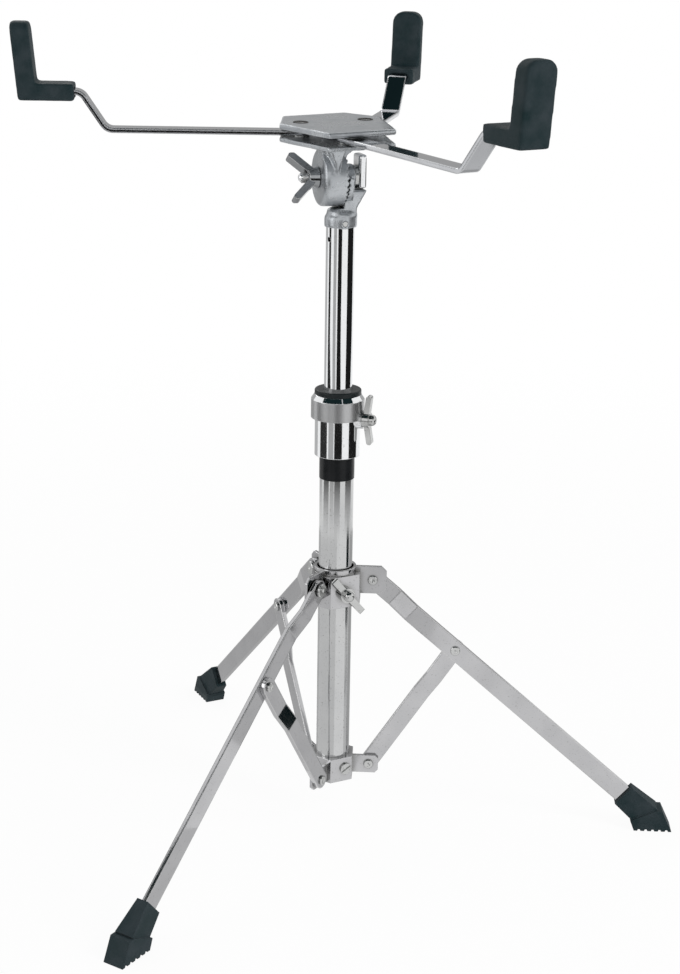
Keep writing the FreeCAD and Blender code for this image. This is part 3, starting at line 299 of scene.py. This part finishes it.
def blade(name, rings, rise, material):
    """A flat piece of the fan between rings, each a radius with its first and last angle."""
    points, faces = [], []
    for radius, first, last in rings:
        for step in range(FAN_STEPS + 1):
            angle = math.radians(first + (last - first) * step / FAN_STEPS)
            points.append((radius * math.sin(angle), -radius * math.cos(angle), rise))
    across = FAN_STEPS + 1
    for ring in range(len(rings) - 1):
        for step in range(FAN_STEPS):
            low = ring * across + step
            faces.append((low, low + 1, low + across + 1, low + across))
    mirror_only(stage_piece(name, points, faces, material))


for name, (near_first, near_last, far_first, far_last, brightness) in FAN.items():
    angles = ((near_first, near_last),) * 2 + ((far_first, far_last),) * 2
    rings = [(radius, *pair) for radius, pair in zip(FAN_RADII, angles)]
    blade(name, rings, FAN_RISE, glowing(name, faded(brightness)))
# Each near blade lies a little higher than the one before, so that no two share a plane.
for order, (name, (first, last, inner, outer, brightness)) in enumerate(NEAR_FAN.items(), 2):
    blade(name, [(inner, first, last), (outer, first, last)], FAN_RISE * order, glowing(name, brightness))
print("cards:", len(CARDS), "blades:", len(FAN) + len(NEAR_FAN))

# %% [markdown]
# ## The metals
# The upper tube, the clamp and the tilter's bolt are bright chrome, and the arms a greyer one. The legs, the
# brackets and the lower tube have a duller plating. The tilter and its plates are cast aluminium, the screws
# and rivets zinc-plated steel, and the wing nut a darker worn steel. Each one is a metallic shader whose
# roughness, colour and bump come from noise in metres, so the marks have a real size. A Bevel node rounds the
# sharp edges in the shading, and its difference from the flat normal also says where an edge is, which is
# where plating wears. Where the worn colour is lighter than the plating, the edge is also a painted
# highlight.
# Some finishes also have painted shade in their corners, found with an ambient occlusion node.

# %% Shared parts of a finish
# A Mix node has sockets of one name for each kind of data, so its colour sockets are picked by place.
MIX_FIRST, MIX_SECOND, MIX_RESULT = 6, 7, 2
EVEN, LENGTHWISE = (1, 1, 1), (1, 1, 0.02)
NOISE_DETAIL = 4.0
NOISE_LOW_SHARE, NOISE_HIGH_SHARE = 0.3, 0.7
EDGE_LOW_SHARE, EDGE_HIGH_SHARE = 0.8, 0.99
TRACE_SAMPLES = 6


def shader(tree, values):
    """The surface shader with its fixed values, joined to the material's output."""
    surface = add_node(tree, "ShaderNodeBsdfPrincipled", values)
    out = add_node(tree, "ShaderNodeOutputMaterial")
    tree.links.new(surface.outputs[0], out.inputs["Surface"])
    return surface


def noise(tree, scale, detail=NOISE_DETAIL, stretch=EVEN):
    """Noise in the object's own metres, stretched as wanted."""
    where = add_node(tree, "ShaderNodeTexCoord")
    mapping = add_node(tree, "ShaderNodeMapping", {"Scale": stretch})
    tree.links.new(where.outputs["Object"], mapping.inputs["Vector"])
    grain = add_node(tree, "ShaderNodeTexNoise", {"Scale": scale, "Detail": detail})
    tree.links.new(mapping.outputs[0], grain.inputs["Vector"])
    return grain.outputs["Fac"]


def ranged(tree, value, low, high, from_low=NOISE_LOW_SHARE, from_high=NOISE_HIGH_SHARE):
    """Spread a value over a new range."""
    spread = add_node(tree, "ShaderNodeMapRange", {
        "From Min": from_low, "From Max": from_high, "To Min": low, "To Max": high})
    tree.links.new(value, spread.inputs["Value"])
    return spread.outputs["Result"]


def mixed(tree, share, first, second):
    """Mix two colours, each a colour or a socket, by a share."""
    mix = add_node(tree, "ShaderNodeMix", data_type="RGBA")
    tree.links.new(share, mix.inputs["Factor"])
    for socket, colour in ((mix.inputs[MIX_FIRST], first), (mix.inputs[MIX_SECOND], second)):
        if isinstance(colour, tuple):
            socket.default_value = colour
        else:
            tree.links.new(colour, socket)
    return mix.outputs[MIX_RESULT]


def soft_edges(tree, radius):
    """A normal with rounded edges, and a mask that is one along them."""
    bevel = add_node(tree, "ShaderNodeBevel", {"Radius": radius}, samples=TRACE_SAMPLES)
    flat = add_node(tree, "ShaderNodeNewGeometry")
    same = add_node(tree, "ShaderNodeVectorMath", operation="DOT_PRODUCT")
    tree.links.new(bevel.outputs[0], same.inputs[0])
    tree.links.new(flat.outputs["Normal"], same.inputs[1])
    edge = ranged(tree, same.outputs["Value"], 1.0, 0.0, EDGE_LOW_SHARE, EDGE_HIGH_SHARE)
    return bevel.outputs[0], edge


def bump(tree, height, strength, depth, normal=None):
    """A bump of a real depth in metres, on top of another normal."""
    made = add_node(tree, "ShaderNodeBump", {"Strength": strength, "Distance": depth})
    tree.links.new(height, made.inputs["Height"])
    if normal is not None:
        tree.links.new(normal, made.inputs["Normal"])
    return made.outputs[0]


# %% Metals
HAZE_SCALE = 55.0
SPECK_SCALE, SPECK_DETAIL = 900.0, 2.0
SPECK_LOW_SHARE, SPECK_HIGH_SHARE = 0.64, 0.70
CORNER_LOW_SHARE, CORNER_HIGH_SHARE = 0.25, 0.95
GRAIN_DETAIL, GRAIN_STRENGTH = 3.0, 0.5


def zone(tree, low, high):
    """One between two heights of the object and zero elsewhere."""
    where = add_node(tree, "ShaderNodeTexCoord")
    split = add_node(tree, "ShaderNodeSeparateXYZ")
    tree.links.new(where.outputs["Object"], split.inputs[0])
    middle, half_height = (low + high) / 2, (high - low) / 2
    inside = add_node(tree, "ShaderNodeMath", {1: middle, 2: half_height}, operation="COMPARE")
    tree.links.new(split.outputs["Z"], inside.inputs[0])
    return inside.outputs[0]


def blend(tree, share, first, second):
    """Mix two numbers, the first a socket, by a share."""
    mix = add_node(tree, "ShaderNodeMix", {"B": second}, data_type="FLOAT")
    tree.links.new(share, mix.inputs["Factor"])
    tree.links.new(first, mix.inputs["A"])
    return mix.outputs[0]


def painted_corner_shade(tree, reach):
    """One deep in a corner and zero in the open, for the painted shade in corners."""
    open_sky = add_node(tree, "ShaderNodeAmbientOcclusion", {"Distance": reach}, samples=TRACE_SAMPLES)
    return ranged(tree, open_sky.outputs["AO"], 1.0, 0.0, CORNER_LOW_SHARE, CORNER_HIGH_SHARE)


def metal(name, colours, rough, rough_worn, grain_scale, grain_depth, edge_radius, specks, stretch=EVEN,
          satin_band=None, corner_shade_reach=None, metallic_share=1.0):
    """A metal with hazy patches, dark specks, a fine grain and worn edges, partly a painted highlight.

    It has a satin band between two heights and painted shade in its corners where these are given. A casting
    is less than wholly metallic, because its sandy skin scatters light as a matt surface does.
    """
    material, tree = new_material(name)
    surface = shader(tree, {"Metallic": metallic_share})
    bright, shade, worn_and_highlit, speck_and_shade = colours
    normal, edge = soft_edges(tree, edge_radius)
    haze = noise(tree, HAZE_SCALE)
    spots = noise(tree, SPECK_SCALE, SPECK_DETAIL)
    pits = ranged(tree, spots, 0.0, specks, SPECK_LOW_SHARE, SPECK_HIGH_SHARE)
    body = mixed(tree, ranged(tree, haze, 0.0, 1.0), bright, shade)
    # Worn edges: where the worn colour is lighter than the body, the edge is also a painted highlight.
    body = mixed(tree, edge, body, worn_and_highlit)
    roughness = blend(tree, edge, ranged(tree, haze, *rough), rough_worn)
    if satin_band is not None:
        low, high, band_colour, band_rough = satin_band
        inside = zone(tree, low, high)
        body = mixed(tree, inside, body, band_colour)
        roughness = blend(tree, inside, roughness, band_rough)
    # Painted shade: corners that see little open space turn to the dark speck colour.
    if corner_shade_reach is not None:
        body = mixed(tree, painted_corner_shade(tree, corner_shade_reach), body, speck_and_shade)
    tree.links.new(mixed(tree, pits, body, speck_and_shade), surface.inputs["Base Color"])
    tree.links.new(roughness, surface.inputs["Roughness"])
    grain = noise(tree, grain_scale, GRAIN_DETAIL, stretch)
    tree.links.new(bump(tree, grain, GRAIN_STRENGTH, grain_depth, normal), surface.inputs["Normal"])
    return material


# Four colours of each metal: the bright plating, its hazy patches, its worn edges, which are also a painted
# highlight where they are lighter, and its dark specks, whose colour also paints shade into corners.
CHROME = ((0.86, 0.87, 0.88, 1), (0.80, 0.81, 0.82, 1), (0.84, 0.84, 0.85, 1), (0.30, 0.29, 0.28, 1))
STRIPS = ((0.52, 0.52, 0.53, 1), (0.47, 0.47, 0.48, 1), (0.60, 0.60, 0.60, 1), (0.20, 0.20, 0.19, 1))
PLATING = ((0.59, 0.595, 0.595, 1), (0.54, 0.545, 0.55, 1), (0.62, 0.62, 0.62, 1), (0.22, 0.21, 0.20, 1))
ARM_CHROME = ((0.56, 0.57, 0.59, 1), (0.50, 0.51, 0.53, 1), (0.56, 0.57, 0.58, 1), (0.26, 0.26, 0.26, 1))
DARK_STEEL = ((0.36, 0.37, 0.38, 1), (0.28, 0.29, 0.30, 1), (0.58, 0.58, 0.58, 1), (0.10, 0.11, 0.11, 1))
CASTING = ((0.50, 0.52, 0.54, 1), (0.36, 0.38, 0.40, 1), (0.62, 0.63, 0.64, 1), (0.11, 0.13, 0.135, 1))
ZINC = ((0.58, 0.585, 0.58, 1), (0.46, 0.465, 0.46, 1), (0.66, 0.66, 0.65, 1), (0.16, 0.16, 0.155, 1))
# The clamp's middle is satin: its lower and upper height, its colour and its roughness.
CLAMP_BAND = (0.28297, 0.29527, (0.46, 0.465, 0.47, 1), 0.32)
METALS = {
    # finish: (colours, roughness from and to, roughness where worn, scale and depth of the grain,
    # edge radius, share of specks)
    "bright_chrome": (CHROME, (0.03, 0.065), 0.08, 1500.0, 0.000002, 0.0005, 0.25),
    "arm_chrome": (ARM_CHROME, (0.04, 0.08), 0.05, 1500.0, 0.000002, 0.0017, 0.25),
    "clamp_chrome": (CHROME, (0.04, 0.09), 0.12, 1500.0, 0.000002, 0.0005, 0.5),
    "tube_plating": (PLATING, (0.07, 0.13), 0.16, 2200.0, 0.000003, 0.0005, 0.5),
    "strip_plating": (STRIPS, (0.05, 0.10), 0.06, 2200.0, 0.000004, 0.0013, 0.4),
    "bracket_plating": (STRIPS, (0.06, 0.12), 0.12, 2200.0, 0.000003, 0.0006, 0.5),
    "cast_aluminium": (CASTING, (0.22, 0.36), 0.24, 700.0, 0.00016, 0.0006, 0.4),
    "zinc_plated_steel": (ZINC, (0.07, 0.16), 0.14, 1300.0, 0.000005, 0.0004, 0.5),
    "bolt_chrome": (CHROME, (0.03, 0.08), 0.08, 1500.0, 0.000004, 0.0005, 0.3),
    "worn_nut_steel": (DARK_STEEL, (0.10, 0.2), 0.14, 1300.0, 0.000005, 0.0006, 0.5),
}
EXTRAS = {
    # finish: what sets it apart from the others
    "bright_chrome": {"stretch": LENGTHWISE},
    "clamp_chrome": {"stretch": LENGTHWISE, "satin_band": CLAMP_BAND},
    "tube_plating": {"stretch": LENGTHWISE},
    # The reach below is how far the painted shade in corners looks for open space, in metres.
    "bracket_plating": {"corner_shade_reach": 0.004},
    "cast_aluminium": {"corner_shade_reach": 0.002, "metallic_share": 0.8},
    "bolt_chrome": {"corner_shade_reach": 0.004},
}
finishes = {name: metal(name, *row, **EXTRAS.get(name, {})) for name, row in METALS.items()}
print("metals:", list(finishes))

# %% [markdown]
# ## Rubber, nylon and the band
# The feet and the tips are moulded black rubber. New rubber is matt with a fine mould grain, and handling
# leaves a grey bloom on it. The bush is smoother black nylon, and the band below the clamp is a plain gloss
# black sleeve. None of these is a metal, so their gloss comes from the plain specular.

# %% Dark finishes
BLOOM_SCALE, BLOOM_DETAIL = 90.0, 6.0
MOULD_DETAIL, MOULD_STRENGTH = 5.0, 0.6


def dark_plastic(name, colour, bloom, rough, grain_scale, grain_depth, edge_radius, bloom_share, gloss):
    """A dark moulded material with a grey bloom in patches and along its edges."""
    material, tree = new_material(name)
    surface = shader(tree, {"Specular IOR Level": gloss})
    normal, edge = soft_edges(tree, edge_radius)
    patches = noise(tree, BLOOM_SCALE, BLOOM_DETAIL)
    dusty = ranged(tree, patches, 0.0, bloom_share)
    rubbed = mixed(tree, dusty, colour, bloom)
    rubbed_edge = ranged(tree, edge, 0.0, bloom_share, 0.0, 1.0)
    tree.links.new(mixed(tree, rubbed_edge, rubbed, bloom), surface.inputs["Base Color"])
    tree.links.new(ranged(tree, patches, *rough), surface.inputs["Roughness"])
    grain = noise(tree, grain_scale, MOULD_DETAIL)
    tree.links.new(bump(tree, grain, MOULD_STRENGTH, grain_depth, normal), surface.inputs["Normal"])
    return material


DARK_FINISHES = {
    # finish: (colour, bloom, roughness from and to, scale and depth of the grain, edge radius,
    # share of bloom, gloss)
    "black_rubber": ((0.003, 0.017, 0.020, 1), (0.044, 0.056, 0.064, 1), (0.5, 0.72),
                     1100.0, 0.00010, 0.0010, 0.65, 0.2),
    "black_nylon": ((0.006, 0.010, 0.011, 1), (0.03, 0.036, 0.038, 1), (0.3, 0.45),
                    1600.0, 0.00002, 0.0005, 0.15, 0.22),
    "gloss_band": ((0.003, 0.004, 0.005, 1), (0.02, 0.021, 0.023, 1), (0.22, 0.35),
                   1900.0, 0.000008, 0.0003, 0.3, 0.2),
}
finishes.update({name: dark_plastic(name, *row) for name, row in DARK_FINISHES.items()})
print("dark finishes:", list(DARK_FINISHES))

# %% [markdown]
# ## Dressing the model's own solids
# Each solid keeps its mesh and gets a finish in its material slots. A table from finish to names is easier
# to read, and to change, than one line for each solid.

# %% Give every solid its finish
SIDES = ("right", "back", "front")
ARM_NAMES = ("left", "right", "back")
DRESSED = {
    "bright_chrome": ["upper_tube"],
    "arm_chrome": [f"arm_{arm}" for arm in ARM_NAMES],
    "clamp_chrome": ["clamp_collar"],
    "tube_plating": ["lower_tube"],
    "bracket_plating": ["leg_collar", "foot_bracket"],
    "strip_plating": [f"{kind}_{side}" for side in SIDES for kind in ("leg", "brace")],
    "cast_aluminium": ["tilter_base", "tilter_head", "top_plate"],
    "bolt_chrome": ["tilter_bolt", "pivot_screws"],
    "worn_nut_steel": ["tilter_wing_nut"],
    "zinc_plated_steel": ["socket_pin", "tilter_washer", "clamp_wing_screw", "collar_wing_screw",
                          "collar_rivets", "bracket_rivets", "bracket_screw", "pivot_washers",
                          *[f"leg_rivet_{side}" for side in SIDES]],
    "black_rubber": [f"foot_{side}" for side in SIDES] + [f"tip_{arm}" for arm in ARM_NAMES],
    "black_nylon": ["clamp_bush"],
    "gloss_band": ["mast_band"],
}
for finish_name, names in DRESSED.items():
    for name in names:
        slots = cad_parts[name].data.materials
        slots.clear()
        slots.append(finishes[finish_name])
dressed = [name for names in DRESSED.values() for name in names]
print("dressed:", len(dressed), "left plain:", sorted(set(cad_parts) - set(dressed)))

# %% [markdown]
# ## Castings and mouldings
# A casting or a moulding has no sharp corners: its mould is rounded and tumbling wears the rest. Rounding
# each edge of such solids by hand is long and fragile. Here a copy of the solid is read as small voxels,
# which also melts a swelling into it, and its points are then relaxed towards their neighbours. The teeth
# between the two halves of the tilter stay as they are, because relaxing would wear them away. The tilter's
# axis lies 17 degrees round from the right, and the basket leans by a degree and a half about it.

# %% Soften the tilter and the rubber tips
PIVOT = Vector((0, 0, 0.435866))
TILTER_TURN = math.radians(17.0)
BASKET_LEAN = math.radians(1.5)
TILTER_AXIS = Vector((math.cos(TILTER_TURN), math.sin(TILTER_TURN), 0))
LEAN = Matrix.Rotation(BASKET_LEAN, 3, TILTER_AXIS)
BASE_FRAME = Matrix.Translation(PIVOT) @ Matrix.Rotation(TILTER_TURN, 4, "Z")
HEAD_FRAME = Matrix.Translation(PIVOT) @ LEAN.to_4x4() @ Matrix.Rotation(TILTER_TURN, 4, "Z")
TOOTH_ZONE = 0.0022
MERGE_DISTANCE = 0.000002
RELAX_SHARE = 0.5
SWELLING_SEGMENTS, SWELLING_RINGS = 48, 32
SWELLINGS = {
    # solid: rows of (frame whose X axis is the tilter's, middle, radii)
    "tilter_base": [(BASE_FRAME, (0.001, 0, -0.0235), (0.0095, 0.0103, 0.005)),
                    (BASE_FRAME, (-0.002, 0, -0.0215), (0.0068, 0.0085, 0.0034))],
    "tilter_head": [(HEAD_FRAME, (-0.0075, 0, 0.020), (0.0073, 0.0145, 0.0065))],
}
SOFTENED = {
    # solid: (body, slot, finish, voxel, rounds of relaxing)
    "tilter_base": ("upper_mast", "cast", "cast_aluminium", 0.0005, 16),
    "tilter_head": ("basket", "cast", "cast_aluminium", 0.0006, 12),
    "top_plate": ("basket", "cast", "cast_aluminium", 0.0006, 6),
    "tilter_bolt": ("upper_mast", "steel", "bolt_chrome", 0.0004, 40),
    **{f"tip_{arm}": (f"arm_{arm}", "rubber", "black_rubber", 0.0007, 14) for arm in ARM_NAMES},
}


def melted(name, voxel):
    """A copy of a solid with its swelling, read as voxels and kept as a plain mesh."""
    shape = bmesh.new()
    shape.from_mesh(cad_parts[name].data)
    bmesh.ops.remove_doubles(shape, verts=shape.verts, dist=MERGE_DISTANCE)
    for place, middle, radii in SWELLINGS.get(name, []):
        where = place @ Matrix.Translation(middle) @ Matrix.Diagonal((*radii, 1))
        bmesh.ops.create_uvsphere(shape, u_segments=SWELLING_SEGMENTS, v_segments=SWELLING_RINGS,
                                  radius=1, matrix=where)
    mesh = bpy.data.meshes.new("soft_" + name)
    shape.to_mesh(mesh)
    shape.free()
    piece = bpy.data.objects.new("soft_" + name, mesh)
    scene.collection.objects.link(piece)
    remesh = piece.modifiers.new("voxels", "REMESH")
    remesh.mode = "VOXEL"
    remesh.voxel_size = voxel
    evaluated = piece.evaluated_get(bpy.context.evaluated_depsgraph_get())
    made = bpy.data.meshes.new_from_object(evaluated)
    piece.modifiers.clear()
    piece.data = made
    return piece


def relaxed(piece, rounds, fixed):
    """Move the points towards their neighbours, apart from the fixed ones."""
    shape = bmesh.new()
    shape.from_mesh(piece.data)
    loose = [point for point in shape.verts if not fixed(point.co)]
    for _ in range(rounds):
        bmesh.ops.smooth_vert(shape, verts=loose, factor=RELAX_SHARE,
                              use_axis_x=True, use_axis_y=True, use_axis_z=True)
    for face in shape.faces:
        face.smooth = True
    shape.to_mesh(piece.data)
    shape.free()


def near_teeth(point):
    """Whether a point is close to the plane where the two halves of the tilter meet."""
    return abs(TILTER_AXIS.dot(point - PIVOT)) < TOOTH_ZONE


def nowhere(point):
    """The test for a solid that has no point to keep."""
    return False


for name, (body, slot, finish_name, voxel, rounds) in SOFTENED.items():
    piece = melted(name, voxel)
    relaxed(piece, rounds, near_teeth if name in SWELLINGS else nowhere)
    piece.data.materials.clear()
    piece.data.materials.append(finishes[finish_name])
    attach(piece, body)
    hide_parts(name)
    print(piece.name, "triangles:", sum(len(face.vertices) - 2 for face in piece.data.polygons))

# %% [markdown]
# ## Coils on the model
# Two small details repeat or follow a path: the thread on the open end of the tilter's bolt, and a dark line
# of painted shade in the gap round each sunk screw of the plates. Both are a wire along a coil. A thread is
# a coil that rises, and a ring is a coil of one turn that doesn't, so one Geometry Nodes tree makes both: it
# sweeps a round wire along a spiral and stands the result on seed points, turned to a direction.

# %% A tree that sweeps a wire along a coil
SPIRAL_STEPS, WIRE_SIDES = 40, 8
COIL_INPUTS = {
    "Radius": "NodeSocketFloat", "Turns": "NodeSocketFloat", "Rise": "NodeSocketFloat",
    "Wire": "NodeSocketFloat", "Direction": "NodeSocketVector", "Finish": "NodeSocketMaterial",
}
coils = bpy.data.node_groups.new("wire_coils", "GeometryNodeTree")
coils.interface.new_socket("Seeds", in_out="INPUT", socket_type="NodeSocketGeometry")
COIL_SOCKETS = {
    label: coils.interface.new_socket(label, in_out="INPUT", socket_type=kind).identifier
    for label, kind in COIL_INPUTS.items()
}
coils.interface.new_socket("Coils", in_out="OUTPUT", socket_type="NodeSocketGeometry")
given = add_node(coils, "NodeGroupInput")
spiral = add_node(coils, "GeometryNodeCurveSpiral", {"Resolution": SPIRAL_STEPS})
wire = add_node(coils, "GeometryNodeCurvePrimitiveCircle", {"Resolution": WIRE_SIDES})
sweep = add_node(coils, "GeometryNodeCurveToMesh", {"Fill Caps": True})
stand_up = add_node(coils, "FunctionNodeAlignRotationToVector", axis="Z")
on_seeds = add_node(coils, "GeometryNodeInstanceOnPoints")
real = add_node(coils, "GeometryNodeRealizeInstances")
finish = add_node(coils, "GeometryNodeSetMaterial")
kept = add_node(coils, "NodeGroupOutput")
for source, target in (
        (given.outputs["Radius"], spiral.inputs["Start Radius"]),
        (given.outputs["Radius"], spiral.inputs["End Radius"]),
        (given.outputs["Turns"], spiral.inputs["Rotations"]),
        (given.outputs["Rise"], spiral.inputs["Height"]),
        (given.outputs["Wire"], wire.inputs["Radius"]),
        (spiral.outputs["Curve"], sweep.inputs["Curve"]),
        (wire.outputs["Curve"], sweep.inputs["Profile Curve"]),
        (given.outputs["Direction"], stand_up.inputs["Vector"]),
        (given.outputs["Seeds"], on_seeds.inputs["Points"]),
        (sweep.outputs["Mesh"], on_seeds.inputs["Instance"]),
        (stand_up.outputs["Rotation"], on_seeds.inputs["Rotation"]),
        (on_seeds.outputs["Instances"], real.inputs["Geometry"]),
        (real.outputs["Geometry"], finish.inputs["Geometry"]),
        (given.outputs["Finish"], finish.inputs["Material"]),
        (finish.outputs["Geometry"], kept.inputs["Coils"])):
    coils.links.new(source, target)


def grown(name, seeds, values):
    """Run the tree on seed points and keep what it makes as a plain mesh at the origin."""
    mesh = bpy.data.meshes.new(name + "_seeds")
    mesh.from_pydata(seeds, [], [])
    piece = bpy.data.objects.new(name, mesh)
    scene.collection.objects.link(piece)
    modifier = piece.modifiers.new("coils", "NODES")
    modifier.node_group = coils
    for label, value in values.items():
        modifier[COIL_SOCKETS[label]] = value
    evaluated = piece.evaluated_get(bpy.context.evaluated_depsgraph_get())
    made = bpy.data.meshes.new_from_object(evaluated)
    piece.modifiers.clear()
    piece.data = made
    print(name, "triangles:", sum(len(face.vertices) - 2 for face in made.polygons))
    return piece


# %% [markdown]
# ## Where the coils stand
# The thread starts on the tilter's axis, outside the wing nut. The screws' seeds are given as the model gives
# them, in metres from the tilter's pivot, and then turned by the lean of the basket.

# %% Thread and screw rings
THREAD_START, THREAD_PITCH, THREAD_TURNS = 0.0232, 0.0009, 2.6
BOLT_RADIUS = 0.0032
SCREW_HEAD_RADIUS = 0.0044
THREAD_WIRE, RING_WIRE = 0.00024, 0.0004
TOP_OF_PLATES, BOTTOM_OF_PLATES = 0.0328, 0.0215
SCREWS_FROM_ABOVE = ((-0.0255, -0.0018), (0.0140, 0.0186))
SCREWS_FROM_BELOW = ((0.0026, -0.0282),)
# The screw rings are painted shade: a dark wire lying in the gap round each sunk screw, where the recess is
# in shade.
GAP_SHADE_DARK, GAP_SHADE_PALE = (0.02, 0.019, 0.017, 1), (0.06, 0.055, 0.05, 1)
GAP_SHADE_SCALE, GAP_SHADE_GLOSS = 700.0, 0.3
GAP_SHADE_ROUGHNESS = (0.4, 0.7)

# The material of the painted shade round the screws.
gap_shade, gap_shade_tree = new_material("painted_gap_shade")
gap_shade_surface = shader(gap_shade_tree, {"Specular IOR Level": GAP_SHADE_GLOSS})
gap_shade_patches = noise(gap_shade_tree, GAP_SHADE_SCALE)
gap_shade_colour = mixed(gap_shade_tree, gap_shade_patches, GAP_SHADE_DARK, GAP_SHADE_PALE)
gap_shade_tree.links.new(gap_shade_colour, gap_shade_surface.inputs["Base Color"])
gap_shade_rough = ranged(gap_shade_tree, gap_shade_patches, *GAP_SHADE_ROUGHNESS)
gap_shade_tree.links.new(gap_shade_rough, gap_shade_surface.inputs["Roughness"])

thread = grown("bolt_thread", [PIVOT - TILTER_AXIS * THREAD_START], {
    "Radius": BOLT_RADIUS, "Turns": THREAD_TURNS, "Rise": THREAD_TURNS * THREAD_PITCH,
    "Wire": THREAD_WIRE, "Direction": -TILTER_AXIS, "Finish": finishes["zinc_plated_steel"]})
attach(thread, "upper_mast")
for ring_name, height, places in (("top_screw_rings", TOP_OF_PLATES, SCREWS_FROM_ABOVE),
                                  ("low_screw_ring", BOTTOM_OF_PLATES, SCREWS_FROM_BELOW)):
    seeds = [PIVOT + LEAN @ Vector((x, y, height)) for x, y in places]
    rings = grown(ring_name, seeds, {
        "Radius": SCREW_HEAD_RADIUS, "Turns": 1.0, "Rise": 0.0, "Wire": RING_WIRE,
        "Direction": LEAN @ Vector((0, 0, 1)), "Finish": gap_shade})
    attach(rings, "basket")
